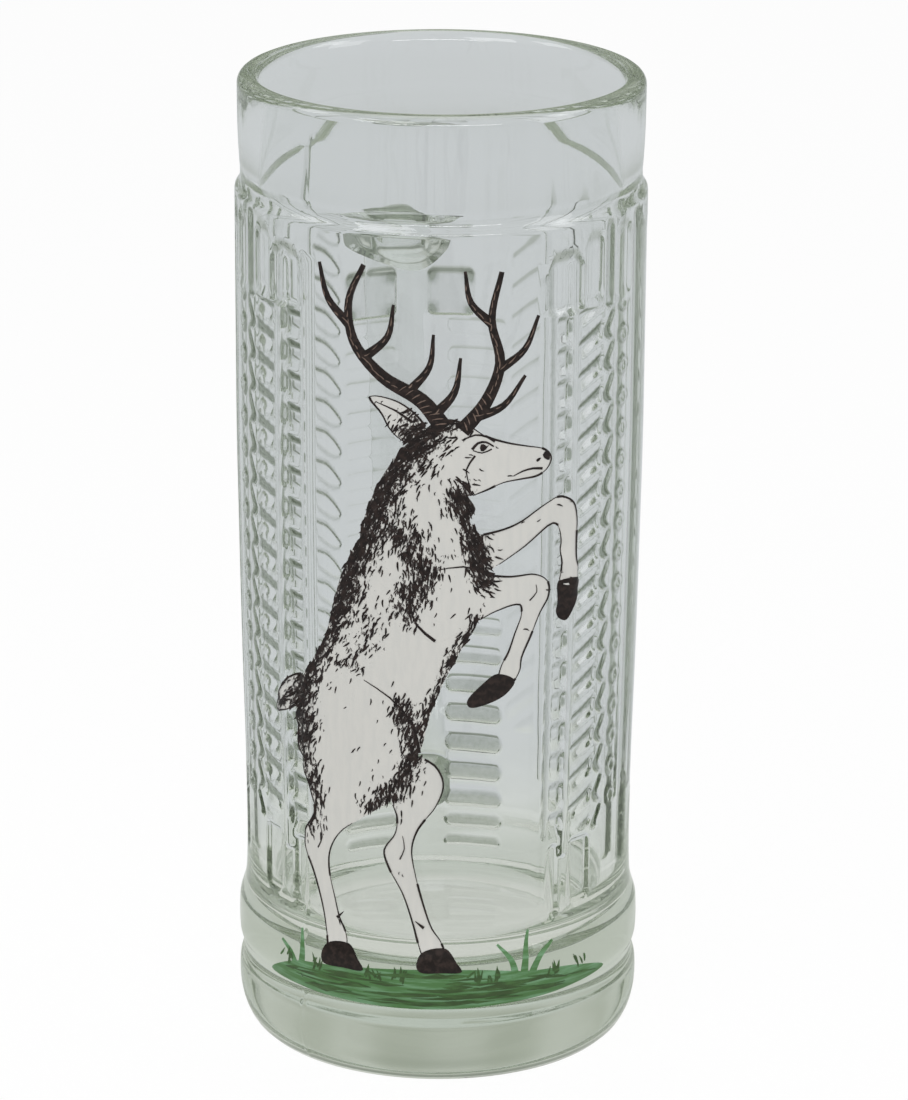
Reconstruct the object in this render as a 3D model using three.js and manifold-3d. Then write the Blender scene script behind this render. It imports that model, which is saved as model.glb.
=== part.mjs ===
// A tall pressed-glass stein, open at the top, with a side handle and a fired enamel picture.
// Millimetres, +Z up. The base rests on z = 0, the handle points along +Y, the picture faces -Y.
// An azimuth is in degrees round the glass: 0 faces -Y, and it grows towards +X.
import * as THREE from 'three';
import { mergeVertices } from 'three/addons/utils/BufferGeometryUtils.js';
import Module from 'manifold-3d';

const wasm = await Module();
wasm.setup();

// Heights of the glass
const STEIN_HEIGHT = 188.5;
const RIM_BAND = 21.7; // the smooth drinking band, from the rim down to the shoulder
const SHOULDER_RISE = 3.8; // how high the shoulder's slope is
const SHOULDER_FLAT = 3.6; // the plain ring under the shoulder, before the pattern's arches
const WAIST_HEIGHT = 31; // where the body is slimmest, just above the base ring
const BASE_RING_HEIGHT = 21.5; // the middle of the upper base ring
const GROOVE_HEIGHT = 15.5; // the groove between the two base rings
const FOOT_RING_HEIGHT = 9; // the middle of the foot ring
const FLOOR_THICKNESS = 23; // solid glass under the drink

// Radii of the outside
const BODY_RADIUS = 38.7; // the body's widest, under the shoulder
const SHOULDER_STEP = 0.95; // how far the shoulder stands out from the drinking band
const RIM_FLARE = 0.4; // how far the rim opens out again
const BODY_TAPER = 1.4; // how much slimmer the body is at the waist
const TAPER_HEIGHT = 95; // how far above the waist the taper ends
const BASE_RING_SWELL = 1.5; // how far the base ring stands out from the waist
const GROOVE_DEPTH = 0.7; // how far the groove lies inside the base ring
const FOOT_RING_SWELL = 0.7; // how far the foot ring stands out from the groove
const FOOT_ROUNDING = 2.3; // the rounded lower edge of the foot

// The drinking bore
const RIM_WALL = 4.1;
const BODY_WALL = 4.7; // wall thickness at the foot of the bore
const FLOOR_ROUNDING = 11; // the wide fillet round the floor

// The pressed pattern: columns of notches let into the wall
const PATTERN_FRONT = -11.5; // azimuth of the plain picture panel's middle
const PATTERN_BACK = 180; // azimuth of the middle of the back pair, behind the handle
const NOTCH_DEPTH = 1.2;
const NOTCH_PITCH = 6.1;
const NOTCH_OPENING = 2.9; // height of one notch
const FEATHER_SLOPE = 0.7; // how steeply a feather's notches slant
const FLUTE_LENGTH = 12; // the smooth arched flute above the notches
const PATTERN_FOOT_MARGIN = 16; // from the waist up to the lowest notch

// The handle
const HANDLE_WIDTH = 14;
const HANDLE_THICKNESS = 10;
const HANDLE_REACH = 30; // from the body to the middle of the grip
const HANDLE_TOP_DROP = 40; // from the rim down to the middle of the upper root
const HANDLE_FOOT_RISE = 36; // from the table up to the middle of the lower root
const HANDLE_LEAN = 5.5; // how far the upper root sits towards -X of the lower one
const UPPER_ROOT_SPREAD = 11; // how much wider the upper root is than the grip
const LOWER_ROOT_SPREAD = 3; // how much wider the lower root is than the grip
const ROOT_DEEPENING = 8; // how much higher each root is than the grip is thick
const ROOT_SWELL = 5.5; // how far each root's swelling reaches out along the grip

// The enamel picture
const ENAMEL_COAT = 0.35;
const PIECE_GAP = 0.3; // left between touching pieces
const FIGURE_HEADROOM = 5.7; // plain glass between the antlers' tips and the shoulder
const FIGURE_STEPS = 150; // steps of the drawing below, from the hooves to the antlers' tips
const FIGURE_SHIFT_STEPS = -7; // steps sideways from the drawing's middle to the panel's
const HILL_TOP_ABOVE_RING = 1.6; // from the base ring's middle up to where the hooves stand

// Fineness of the round forms
const ROUND_SEGMENTS = 60;
const SHELL_SEGMENTS = 90;
const SPLINE_STEPS = 2;

// Heights and radii that follow
const shoulderTop = STEIN_HEIGHT - RIM_BAND + SHOULDER_RISE;
const shoulderFoot = STEIN_HEIGHT - RIM_BAND;
const neckRadius = BODY_RADIUS - SHOULDER_STEP;
const rimRadius = neckRadius + RIM_FLARE;
const waistRadius = BODY_RADIUS - BODY_TAPER;
const ringRadius = waistRadius + BASE_RING_SWELL;
const grooveRadius = ringRadius - GROOVE_DEPTH;
const footRadius = grooveRadius + FOOT_RING_SWELL;
const taperTop = Math.min(WAIST_HEIGHT + TAPER_HEIGHT, (WAIST_HEIGHT + shoulderFoot * 3) / 4);
const patternTop = shoulderFoot - SHOULDER_FLAT;
const patternFoot = WAIST_HEIGHT + PATTERN_FOOT_MARGIN;
const boreFootRadius = waistRadius - BODY_WALL;

const radians = (degrees) => degrees * Math.PI / 180;

// Outside of the glass from the middle of the underside to the rim, as (radius, height).
function outerProfile() {
  const points = [[0, 0], [footRadius - FOOT_ROUNDING, 0]];
  for (const turn of [30, 60]) {
    const angle = radians(turn);
    points.push([
      footRadius - FOOT_ROUNDING * (1 - Math.sin(angle)),
      FOOT_RING_HEIGHT * 0.75 * (1 - Math.cos(angle)),
    ]);
  }
  points.push([footRadius, FOOT_RING_HEIGHT]);
  points.push([(footRadius + grooveRadius) / 2, (FOOT_RING_HEIGHT + GROOVE_HEIGHT * 3) / 4]);
  points.push([grooveRadius, GROOVE_HEIGHT]);
  points.push([(ringRadius + grooveRadius) / 2, (BASE_RING_HEIGHT + GROOVE_HEIGHT * 3) / 4]);
  points.push([ringRadius, (BASE_RING_HEIGHT * 3 + GROOVE_HEIGHT) / 4]);
  points.push([ringRadius, BASE_RING_HEIGHT]);
  points.push([(ringRadius + waistRadius) / 2, (BASE_RING_HEIGHT + WAIST_HEIGHT) / 2]);
  points.push([waistRadius, WAIST_HEIGHT]);
  points.push([BODY_RADIUS, taperTop]);
  points.push([BODY_RADIUS, shoulderFoot]);
  points.push([neckRadius + SHOULDER_STEP * 0.25, (shoulderTop + shoulderFoot) / 2]);
  points.push([neckRadius, shoulderTop]);
  points.push([rimRadius, (shoulderTop + STEIN_HEIGHT) / 2]);
  return points;
}

// The rounded rim and the bore, down to the middle of the floor.
function innerProfile() {
  const lip = RIM_WALL / 2;
  const points = [];
  for (let turn = 0; turn <= 180; turn += 30) {
    const angle = radians(turn);
    points.push([rimRadius - lip + lip * Math.cos(angle), STEIN_HEIGHT - lip + lip * Math.sin(angle)]);
  }
  for (let turn = 0; turn <= 90; turn += 22.5) {
    const angle = radians(turn);
    points.push([
      boreFootRadius - FLOOR_ROUNDING * (1 - Math.cos(angle)),
      FLOOR_THICKNESS + FLOOR_ROUNDING * (1 - Math.sin(angle)),
    ]);
  }
  points.push([0, FLOOR_THICKNESS]);
  return points;
}

// Radius of the outside at a height, read off the profile.
function outerRadius(height) {
  const points = outerProfile();
  for (let i = 1; i < points.length; i += 1) {
    const [r0, z0] = points[i - 1];
    const [r1, z1] = points[i];
    if (height <= z1 && z1 > z0) {
      return r0 + (r1 - r0) * (height - z0) / (z1 - z0);
    }
  }
  return rimRadius;
}

// Turns an outline of (radius, height) round the Z axis.
function turned(outline, segments) {
  const points = outline.map(([radius, height]) => new THREE.Vector2(radius, height));
  return new THREE.LatheGeometry(points, segments).rotateX(Math.PI / 2);
}

// Makes a solid of a closed three.js geometry, with its shared corners merged.
function solidOf(geometry) {
  const bare = geometry.clone();
  bare.deleteAttribute('normal');
  bare.deleteAttribute('uv');
  const merged = mergeVertices(bare, 1e-4);
  const position = merged.attributes.position;
  const corners = [];
  for (let i = 0; i < merged.index.count; i += 3) {
    const [a, b, c] = [0, 1, 2].map((k) => merged.index.getX(i + k));
    if (a !== b && b !== c && a !== c) {
      corners.push(a, b, c);
    }
  }
  return new wasm.Manifold(new wasm.Mesh({
    numProp: 3,
    vertProperties: new Float32Array(position.array),
    triVerts: new Uint32Array(corners),
  }));
}

// Gives a solid back as a named mesh with its own finish.
function meshOf(solid, name, finish) {
  const data = solid.getMesh();
  const geometry = new THREE.BufferGeometry();
  geometry.setAttribute('position', new THREE.BufferAttribute(new Float32Array(data.vertProperties), 3));
  geometry.setIndex(new THREE.BufferAttribute(new Uint32Array(data.triVerts), 1));
  geometry.computeVertexNormals();
  const mesh = new THREE.Mesh(geometry, new THREE.MeshStandardMaterial(finish));
  mesh.name = name;
  return mesh;
}

function joined(solids) {
  return solids.reduce((sum, next) => sum.add(next));
}

// The pattern's columns on one side of a middle line: offset and width in degrees, and the kind.
const FRONT_COLUMNS = [
  { offset: 38.5, width: 6, kind: 'ladder' },
  { offset: 51, width: 10.5, kind: 'feather' },
  { offset: 67, width: 8, kind: 'channel' },
];
const BACK_COLUMNS = [
  { offset: 18.5, width: 20, kind: 'ladder' },
  { offset: 37, width: 9, kind: 'feather' },
  { offset: 48, width: 7, kind: 'channel' },
  { offset: 59, width: 9, kind: 'feather' },
];

// A comb whose teeth reach into the wall, under one long tooth for the smooth flute.
function combOutline() {
  const spine = 1.5;
  const outside = (height) => outerRadius(height) + spine;
  const inside = (height) => outerRadius(height) - NOTCH_DEPTH;
  const clear = (height) => outerRadius(height) + spine / 3;
  const fluteFoot = patternTop - FLUTE_LENGTH;
  const shape = new THREE.Shape();
  shape.moveTo(outside(patternTop), patternTop);
  shape.lineTo(clear(patternTop), patternTop);
  shape.lineTo(inside(patternTop), patternTop - NOTCH_DEPTH);
  shape.lineTo(inside(fluteFoot), fluteFoot);
  shape.lineTo(clear(fluteFoot), fluteFoot - NOTCH_DEPTH);
  let top = fluteFoot - NOTCH_PITCH / 2;
  while (top - NOTCH_OPENING > patternFoot) {
    shape.lineTo(clear(top), top);
    shape.lineTo(inside(top), top - NOTCH_OPENING * 0.6);
    shape.lineTo(clear(top - NOTCH_OPENING), top - NOTCH_OPENING);
    top -= NOTCH_PITCH;
  }
  shape.lineTo(outside(top), top);
  shape.closePath();
  return shape;
}

// A plain blade that cuts one long channel, where a chain of fine beads lies.
function channelOutline() {
  const spine = 1.5;
  const shape = new THREE.Shape();
  const foot = patternFoot - NOTCH_PITCH;
  shape.moveTo(outerRadius(patternTop) + spine, patternTop);
  shape.lineTo(outerRadius(patternTop) - NOTCH_DEPTH, patternTop - FLUTE_LENGTH / 2);
  shape.lineTo(outerRadius(foot) - NOTCH_DEPTH, foot + NOTCH_PITCH);
  shape.lineTo(outerRadius(foot) + spine, foot);
  shape.closePath();
  return shape;
}

// One column of notches. A feather's notches slant down towards the picture.
function columnCutter(azimuth, width, kind, side) {
  const span = 2 * BODY_RADIUS * Math.sin(radians(width) / 2);
  const slope = kind === 'feather' ? FEATHER_SLOPE * side : 0;
  const comb = new THREE.ExtrudeGeometry(kind === 'channel' ? channelOutline() : combOutline(), {
    depth: span,
    bevelEnabled: false,
  });
  comb.rotateX(Math.PI / 2);
  comb.translate(0, span / 2, 0);
  const shear = new THREE.Matrix4().set(1, 0, 0, 0, 0, 1, 0, 0, 0, slope, 1, 0, 0, 0, 0, 1);
  comb.applyMatrix4(shear);
  comb.rotateZ(radians(azimuth - 90));
  return solidOf(comb);
}

function patternCutters() {
  const cutters = [];
  for (const side of [-1, 1]) {
    for (const { offset, width, kind } of FRONT_COLUMNS) {
      cutters.push(columnCutter(PATTERN_FRONT + side * offset, width, kind, side));
    }
    for (const { offset, width, kind } of BACK_COLUMNS) {
      cutters.push(columnCutter(PATTERN_BACK + side * offset, width, kind, -side));
    }
  }
  return cutters;
}

function glassBody() {
  const blank = solidOf(turned([...outerProfile(), ...innerProfile()], ROUND_SEGMENTS));
  return patternCutters().reduce((body, cutter) => body.subtract(cutter), blank);
}

// The handle's middle line before it leans, as an ear that narrows towards the lower root.
function handleLine() {
  const top = STEIN_HEIGHT - HANDLE_TOP_DROP;
  const foot = HANDLE_FOOT_RISE;
  const out = BODY_RADIUS + HANDLE_REACH;
  const rise = top - foot;
  const points = [
    [BODY_RADIUS - HANDLE_THICKNESS / 2, top - HANDLE_THICKNESS * 0.1],
    [BODY_RADIUS + HANDLE_REACH * 0.35, top + HANDLE_THICKNESS * 0.15],
    [out - HANDLE_REACH * 0.2, top - rise * 0.055],
    [out, top - rise * 0.2],
    [out - HANDLE_REACH * 0.02, top - rise * 0.45],
    [out - HANDLE_REACH * 0.16, top - rise * 0.7],
    [out - HANDLE_REACH * 0.55, top - rise * 0.91],
    [BODY_RADIUS - HANDLE_THICKNESS / 2, foot],
  ];
  return new THREE.CatmullRomCurve3(points.map(([y, z]) => new THREE.Vector3(0, y, z)));
}

// The grip's section: a bar with well-rounded corners, wider than it is thick.
function gripSection() {
  const section = new THREE.Shape();
  const corners = 12;
  for (let i = 0; i < corners; i += 1) {
    const angle = 2 * Math.PI * i / corners;
    const [c, s] = [Math.cos(angle), Math.sin(angle)];
    const across = Math.sign(s) * Math.abs(s) ** 0.75 * HANDLE_WIDTH / 2;
    const through = Math.sign(c) * Math.abs(c) ** 0.75 * HANDLE_THICKNESS / 2;
    if (i === 0) {
      section.moveTo(through, across);
    } else {
      section.lineTo(through, across);
    }
  }
  section.closePath();
  return section;
}

function rootPad(height, spread) {
  const pad = new THREE.SphereGeometry(1, 16, 8);
  pad.scale((HANDLE_WIDTH + spread) / 2, ROOT_SWELL, (HANDLE_THICKNESS + ROOT_DEEPENING) / 2);
  pad.translate(0, BODY_RADIUS, height);
  return pad;
}

// Leans a form of the handle sideways, the more the higher it is over the lower root.
function leaned(form) {
  const slope = -HANDLE_LEAN / (STEIN_HEIGHT - HANDLE_TOP_DROP - HANDLE_FOOT_RISE);
  const lean = new THREE.Matrix4();
  lean.set(
    1, 0, slope, -slope * HANDLE_FOOT_RISE,
    0, 1, 0, 0,
    0, 0, 1, 0,
    0, 0, 0, 1,
  );
  return solidOf(form.applyMatrix4(lean));
}

function glassHandle() {
  const bar = new THREE.ExtrudeGeometry(gripSection(), {
    steps: 26,
    extrudePath: handleLine(),
    bevelEnabled: false,
  });
  const grip = joined([
    leaned(bar),
    leaned(rootPad(STEIN_HEIGHT - HANDLE_TOP_DROP, UPPER_ROOT_SPREAD)),
    leaned(rootPad(HANDLE_FOOT_RISE, LOWER_ROOT_SPREAD)),
  ]);
  const outline = outerProfile().map(([radius, height]) => [radius > 0 ? radius + PIECE_GAP : 0, height]);
  outline.push([0, STEIN_HEIGHT - RIM_WALL]);
  return grip.subtract(solidOf(turned(outline, ROUND_SEGMENTS)));
}

// A smooth closed outline through (across, up) points.
function smoothOutline(points) {
  const spline = new THREE.CatmullRomCurve3(
    points.map(([x, y]) => new THREE.Vector3(x, y, 0)),
    true,
    'centripetal',
  );
  return spline.getPoints(points.length * SPLINE_STEPS).slice(0, -1).map(({ x, y }) => [x, y]);
}

// A brush stroke along (across, up) points, narrowing from its root to its tip.
function strokeOutline(points, rootWidth, tipWidth) {
  const spline = new THREE.CatmullRomCurve3(points.map(([x, y]) => new THREE.Vector3(x, y, 0)));
  const steps = points.length * SPLINE_STEPS;
  const left = [];
  const right = [];
  for (let i = 0; i <= steps; i += 1) {
    const at = spline.getPoint(i / steps);
    const along = spline.getTangent(i / steps);
    const half = (rootWidth + (tipWidth - rootWidth) * i / steps) / 2;
    left.push([at.x - along.y * half, at.y + along.x * half]);
    right.unshift([at.x + along.y * half, at.y - along.x * half]);
  }
  return [...left, ...right];
}

const standHeight = BASE_RING_HEIGHT + HILL_TOP_ABOVE_RING;
const figureScale = (shoulderFoot - FIGURE_HEADROOM - standHeight) / FIGURE_STEPS;
const enamelRadius = BODY_RADIUS + PIECE_GAP;

// Puts a drawn point on the panel: distances across are measured round the glass.
function onPanel([across, up]) {
  const turn = (across + FIGURE_SHIFT_STEPS) * figureScale / enamelRadius;
  return [enamelRadius * Math.sin(turn), standHeight + up * figureScale];
}

// A prism through the front of the glass, over an outline that is already on the panel.
function prism(outline) {
  const shape = new THREE.Shape(outline.map(([x, z]) => new THREE.Vector2(x, z)));
  const depth = enamelRadius * 1.5;
  const bar = new THREE.ExtrudeGeometry(shape, { depth, bevelEnabled: false });
  return solidOf(bar.rotateX(Math.PI / 2));
}

// The same prism, grown by the gap that is left round it in what it cuts.
function grown(solid) {
  const copies = [];
  for (let turn = 0; turn < 360; turn += 45) {
    const angle = radians(turn);
    copies.push(solid.translate([PIECE_GAP * Math.cos(angle), 0, PIECE_GAP * Math.sin(angle)]));
  }
  return joined([solid, ...copies]);
}

// The thin layer of enamel round the front of the glass.
function enamelShell() {
  const low = standHeight + Math.min(...HILL.map(([, up]) => up)) * figureScale * 1.3;
  const top = shoulderFoot;
  const heights = outerProfile().map(([, height]) => height).filter((height) => height > low && height < top);
  const levels = [low, ...new Set(heights), top];
  const inner = levels.map((height) => [outerRadius(height) + PIECE_GAP, height]);
  const outer = levels.map((height) => [outerRadius(height) + PIECE_GAP + ENAMEL_COAT, height]).reverse();
  return solidOf(turned([...outer, ...inner, outer[0]].reverse(), SHELL_SEGMENTS));
}

// The stag's outlines, facing +X, drawn from the hooves at 0 to the antlers at 150
const COAT_PARTS = {
  torso: [
    [13, 96], [19.5, 90], [21.2, 83], [19, 76], [15, 69], [11.6, 62], [9, 55], [7, 48], [0, 43], [-10, 42],
    [-17, 45], [-20.6, 51], [-20.4, 58], [-17, 65], [-13.4, 71.5], [-11.4, 79], [-8.6, 87], [-4.4, 94], [4, 98],
  ],
  neck: [
    [-5.2, 92], [-3.4, 100], [0.2, 107.6], [5.4, 114.4], [11, 118.2], [15, 117], [18, 112], [18.2, 107],
    [16.6, 103.6], [18.4, 100], [17.2, 97.6], [19.6, 94], [18.6, 91], [21, 87], [20.2, 82], [10, 78], [0, 83],
  ],
  head: [
    [9.5, 117.6], [13.5, 118.7], [17, 117.4], [20.2, 115.2], [25, 113.4], [29.6, 112.2], [33, 111.2],
    [34.6, 109.3], [33.8, 107.2], [31.6, 105.9], [28, 105.6], [24, 105.2], [20, 103.7], [16.6, 102.8],
    [13, 104.5], [10, 110],
  ],
  ear: [[8.4, 116.6], [5.6, 120.4], [1.6, 122.6], [-3.2, 122.8], [-0.6, 119.6], [1.2, 116.4], [4.8, 113.8]],
  tail: [[-19, 61], [-22.6, 60.4], [-26, 57], [-28.4, 51.6], [-25.4, 52.2], [-22.6, 53.4], [-20, 55]],
  hind_near_leg: [
    [-16.6, 65], [-20.4, 58.5], [-22, 51], [-20.8, 43], [-18, 36.5], [-17.2, 31.4], [-19.6, 27.4], [-20, 23.6],
    [-17.4, 18], [-15, 11], [-13.8, 6], [-12.6, 3.2], [-8.8, 3.9], [-9.2, 7], [-10.6, 9.4], [-12, 14],
    [-13.4, 19.5], [-13.2, 24], [-10.6, 28.6], [-5.4, 32.6], [0.6, 36.8], [5.2, 42], [7, 48], [5, 54.5],
    [-0.6, 60], [-8, 65],
  ],
  hind_far_leg: [
    [2, 47], [9.6, 46], [12.2, 41.5], [10.8, 36.6], [7, 31.4], [5.6, 27], [6.2, 22], [8, 15], [10, 9.4],
    [11.8, 6.8], [12.4, 4.4], [8.4, 3.6], [7, 6.4], [6, 10], [3.6, 17], [0.6, 22.4], [-0.4, 26.2], [2, 30],
    [2.4, 34], [0, 40],
  ],
  fore_near_leg: [
    [7, 86], [14, 88], [20, 86.2], [26, 85.2], [31.4, 85], [34.4, 83], [34.6, 80], [32.6, 76.6], [30.6, 72],
    [28.6, 67.6], [28.2, 64.8], [26.6, 62.6], [23.8, 63.8], [24.2, 66.4], [25.6, 69], [27, 73], [28.4, 77],
    [28, 79], [23, 78.2], [17, 75.2], [10, 72], [5, 78],
  ],
  fore_far_leg: [
    [11, 94], [20, 94.6], [27, 96.2], [33, 99.4], [37, 100.6], [40, 99], [41, 95.6], [41, 91], [41.2, 86.6],
    [42.2, 84], [41.4, 81.8], [38.2, 81.6], [37.6, 84], [37.8, 87], [37.4, 91.4], [36.6, 94.6], [35, 95.2],
    [29, 91.4], [22, 87.2], [14, 82],
  ],
};
const HOOVES = {
  hind_near_hoof: [[-13.4, 3.8], [-14.4, 0.8], [-13.8, -0.4], [-9, -0.5], [-4.6, -0.3], [-5.6, 1.6], [-8.2, 4.6]],
  hind_far_hoof: [[7.8, 4.3], [6.8, 1.6], [7.6, 0.4], [12, 0.3], [16.2, 0.5], [15.2, 2.3], [12.9, 5.2]],
  fore_near_hoof: [[27.2, 62.8], [23.4, 64.6], [20.2, 62.6], [17, 59], [17.6, 57.8], [21.6, 58.4], [25.4, 60.2]],
  fore_far_hoof: [[37.6, 82.4], [42.2, 82.4], [42, 79.4], [40.6, 76.2], [38.6, 74], [37.4, 74.8], [37, 78.2]],
};
// Each antler is a beam followed by its tines, from root to tip
const ANTLERS = {
  near_antler: [
    { points: [[12, 117], [7.5, 122.6], [-0.5, 127.2], [-6.6, 134], [-7.6, 142], [-4.4, 149.6]], root: 3.6, tip: 1 },
    { points: [[10, 119.6], [14, 124.4], [15.2, 131.4]], root: 2.3, tip: 0.6 },
    { points: [[5, 124.4], [9, 129.6], [9.8, 136.2]], root: 2, tip: 0.6 },
    { points: [[-4.4, 130.6], [0.6, 135.4], [1.8, 142]], root: 2.1, tip: 0.6 },
    { points: [[-7.4, 137], [-12.4, 142], [-14.4, 149]], root: 2.1, tip: 0.6 },
  ],
  far_antler: [
    { points: [[15.6, 116.4], [20.4, 122.2], [23.2, 130], [21.4, 139], [23.4, 148.6]], root: 3.2, tip: 1 },
    { points: [[18, 119], [24, 121.2], [28.6, 127]], root: 2.1, tip: 0.6 },
    { points: [[23, 128.6], [28.4, 132.4], [31.4, 139]], root: 2, tip: 0.6 },
    { points: [[21.6, 138], [17.2, 142.6], [16, 149]], root: 2, tip: 0.6 },
  ],
};
// The grassy hill under the hooves, drawn to the same scale round the same point
const HILL = [
  [-30, -6.5], [-22, -2.2], [-12, -0.6], [-2, 0.4], [9, 0.9], [20, 0.6], [31, -1], [42, -2.2], [52, -5.2], [40, -7],
  [24, -7.8], [8, -8.2], [-8, -8], [-20, -7.6],
];
const GRASS_BLADES = [
  { points: [[28, -2.5], [26.8, 2], [24, 5.4]], root: 1.8, tip: 0.6 },
  { points: [[29.6, -2.5], [30.2, 3], [31.2, 7.6]], root: 1.9, tip: 0.6 },
  { points: [[31, -2.5], [33.6, 2], [37, 4.4]], root: 1.8, tip: 0.6 },
  { points: [[-21, -4], [-23, -0.4], [-25.8, 1.6]], root: 1.8, tip: 0.6 },
  { points: [[-20, -4], [-19.6, 1.4], [-20.6, 5.2]], root: 1.9, tip: 0.6 },
];

const placed = (outline) => prism(outline.map(onPanel));
const placedSmooth = (points) => placed(smoothOutline(points));
const placedStrokes = (strokes) => joined(
  strokes.map(({ points, root, tip }) => placed(strokeOutline(points, root, tip))),
);

const IVORY = { color: 0xcdcbc6, roughness: 0.35, metalness: 0 };
const UMBER = { color: 0x2d2320, roughness: 0.3, metalness: 0 };
const GRASS = { color: 0x4c7850, roughness: 0.35, metalness: 0 };
const GLASS = { color: 0xcfdcd6, roughness: 0.03, metalness: 0, transparent: true, opacity: 0.35 };

// The picture's layers, each cut clear of those that lie over it.
function enamelPicture() {
  const shell = enamelShell();
  const hooves = Object.entries(HOOVES).map(([name, points]) => [name, placedSmooth(points)]);
  const antlers = Object.entries(ANTLERS).map(([name, strokes]) => [name, placedStrokes(strokes)]);
  const over = joined([...hooves, ...antlers].map(([, solid]) => grown(solid)));
  const coat = joined(Object.values(COAT_PARTS).map(placedSmooth));
  const hill = joined([placedSmooth(HILL), placedStrokes(GRASS_BLADES)]);
  const layers = [
    ...[...hooves, ...antlers].map(([name, solid]) => [`enamel_${name}`, solid, UMBER]),
    ['enamel_stag_coat', coat.subtract(over), IVORY],
    ['enamel_grass_hill', hill.subtract(over).subtract(grown(coat)), GRASS],
  ];
  return layers.map(([name, solid, finish]) => (
    meshOf(shell.intersect(solid).rotate([0, 0, PATTERN_FRONT]), name, finish)
  ));
}

const stein = new THREE.Group();
stein.name = 'enamelled_glass_stein';
stein.add(meshOf(glassBody(), 'glass_body', GLASS));
stein.add(meshOf(glassHandle(), 'handle', GLASS));
for (const layer of enamelPicture()) {
  stein.add(layer);
}

export default stein;
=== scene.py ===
"""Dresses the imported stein: pressed clear glass, an applied handle and a fired enamel picture.

Lengths are in millimetres and angles in degrees, unless a name says otherwise. An azimuth is
measured round the glass: 0 faces -Y and it grows towards +X. The picture is drawn in steps on a
flat sheet, as (across, up) from the point between the hooves, and then laid round the glass.
Sizes in a shader are in metres, but for the sheet's own map, which is in millimetres.
"""

import logging
import random
from collections.abc import Callable, Iterable, Iterator, Sequence
from dataclasses import dataclass
from enum import Enum
from functools import cached_property
from itertools import groupby, pairwise
from math import atan2, ceil, copysign, cos, degrees, exp, hypot, inf, pi, radians, sin, sqrt, tau

import bmesh
import bpy
from mathutils import Matrix, Vector


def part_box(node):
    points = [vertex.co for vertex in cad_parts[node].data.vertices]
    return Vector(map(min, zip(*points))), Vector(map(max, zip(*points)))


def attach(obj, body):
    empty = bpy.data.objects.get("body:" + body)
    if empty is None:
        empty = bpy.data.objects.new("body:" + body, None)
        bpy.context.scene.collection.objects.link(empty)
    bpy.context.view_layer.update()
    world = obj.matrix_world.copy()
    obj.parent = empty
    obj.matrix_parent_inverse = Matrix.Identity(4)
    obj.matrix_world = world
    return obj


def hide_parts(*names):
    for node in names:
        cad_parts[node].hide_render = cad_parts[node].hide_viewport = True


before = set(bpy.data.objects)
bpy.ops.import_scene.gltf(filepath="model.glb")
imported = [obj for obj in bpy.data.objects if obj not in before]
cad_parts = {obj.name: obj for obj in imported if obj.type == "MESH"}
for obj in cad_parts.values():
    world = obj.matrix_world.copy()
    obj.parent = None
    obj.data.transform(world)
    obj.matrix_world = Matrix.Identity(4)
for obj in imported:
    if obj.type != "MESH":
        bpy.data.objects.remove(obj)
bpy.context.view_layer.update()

LOG = logging.getLogger("stein")
MM = 0.001
FULL_TURN = 360.0
Point = tuple[float, float]
Span = tuple[float, float]
Place = tuple[float, float, float]
Colour = tuple[float, float, float]
Mesh = bmesh.types.BMesh
Vert = bmesh.types.BMVert


def smooth(low: float, high: float, value: float) -> float:
    """Rises smoothly from 0 at low to 1 at high."""
    share = min(1.0, max(0.0, (value - low) / (high - low)))
    return share * share * (3.0 - 2.0 * share)


def window(low: float, high: float, edge: float, value: float) -> float:
    """Is 1 between two limits and falls to 0 within an edge outside of them."""
    return smooth(low - edge, low, value) * (1.0 - smooth(high, high + edge, value))


def eased(t: float, start: Vector | float, leaving: Vector | float, end: Vector | float,
          arriving: Vector | float) -> Vector | float:
    """Goes from start to end while t goes from 0 to 1, with the slopes leaving and arriving."""
    return ((2 * t**3 - 3 * t**2 + 1) * start + (t**3 - 2 * t**2 + t) * leaving
            + (3 * t**2 - 2 * t**3) * end + (t**3 - t**2) * arriving)


def flowing(points: Sequence[Point], steps: int, closed: bool) -> list[Point]:
    """Draws a smooth line through points, evenly loose round tight corners.

    Args:
        points: The points that the line passes.
        steps: How many steps lie between two points.
        closed: Whether the line comes back to its start.

    Returns:
        The points of the smooth line.
    """
    given = [Vector(point) for point in points]
    if closed:
        padded = [given[-1], *given, *given[:2]]
    else:
        padded = [2 * given[0] - given[1], *given, 2 * given[-1] - given[-2]]
    line: list[Point] = []
    for four in zip(padded, padded[1:], padded[2:], padded[3:]):
        spans = [max(1e-4, sqrt((after - before).length)) for before, after in pairwise(four)]
        slopes = [((four[k + 1] - four[k]) / spans[k] - (four[k + 2] - four[k]) / (spans[k] + spans[k + 1])
                   + (four[k + 2] - four[k + 1]) / spans[k + 1]) * spans[1] for k in (0, 1)]
        places = [eased(step / steps, four[1], slopes[0], four[2], slopes[1]) for step in range(steps)]
        line += [(place.x, place.y) for place in places]
    return line if closed else [*line, tuple(given[-1])]


def headings(line: Sequence[Point]) -> list[Point]:
    """Gives a line's direction at each of its points.

    Args:
        line: The points of the line.

    Returns:
        Directions of length 1.
    """
    padded = [line[0], *line, line[-1]]
    steps = [(after[0] - before[0], after[1] - before[1]) for before, after in zip(padded, padded[2:])]
    return [(x / hypot(x, y), y / hypot(x, y)) for x, y in steps]


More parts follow.
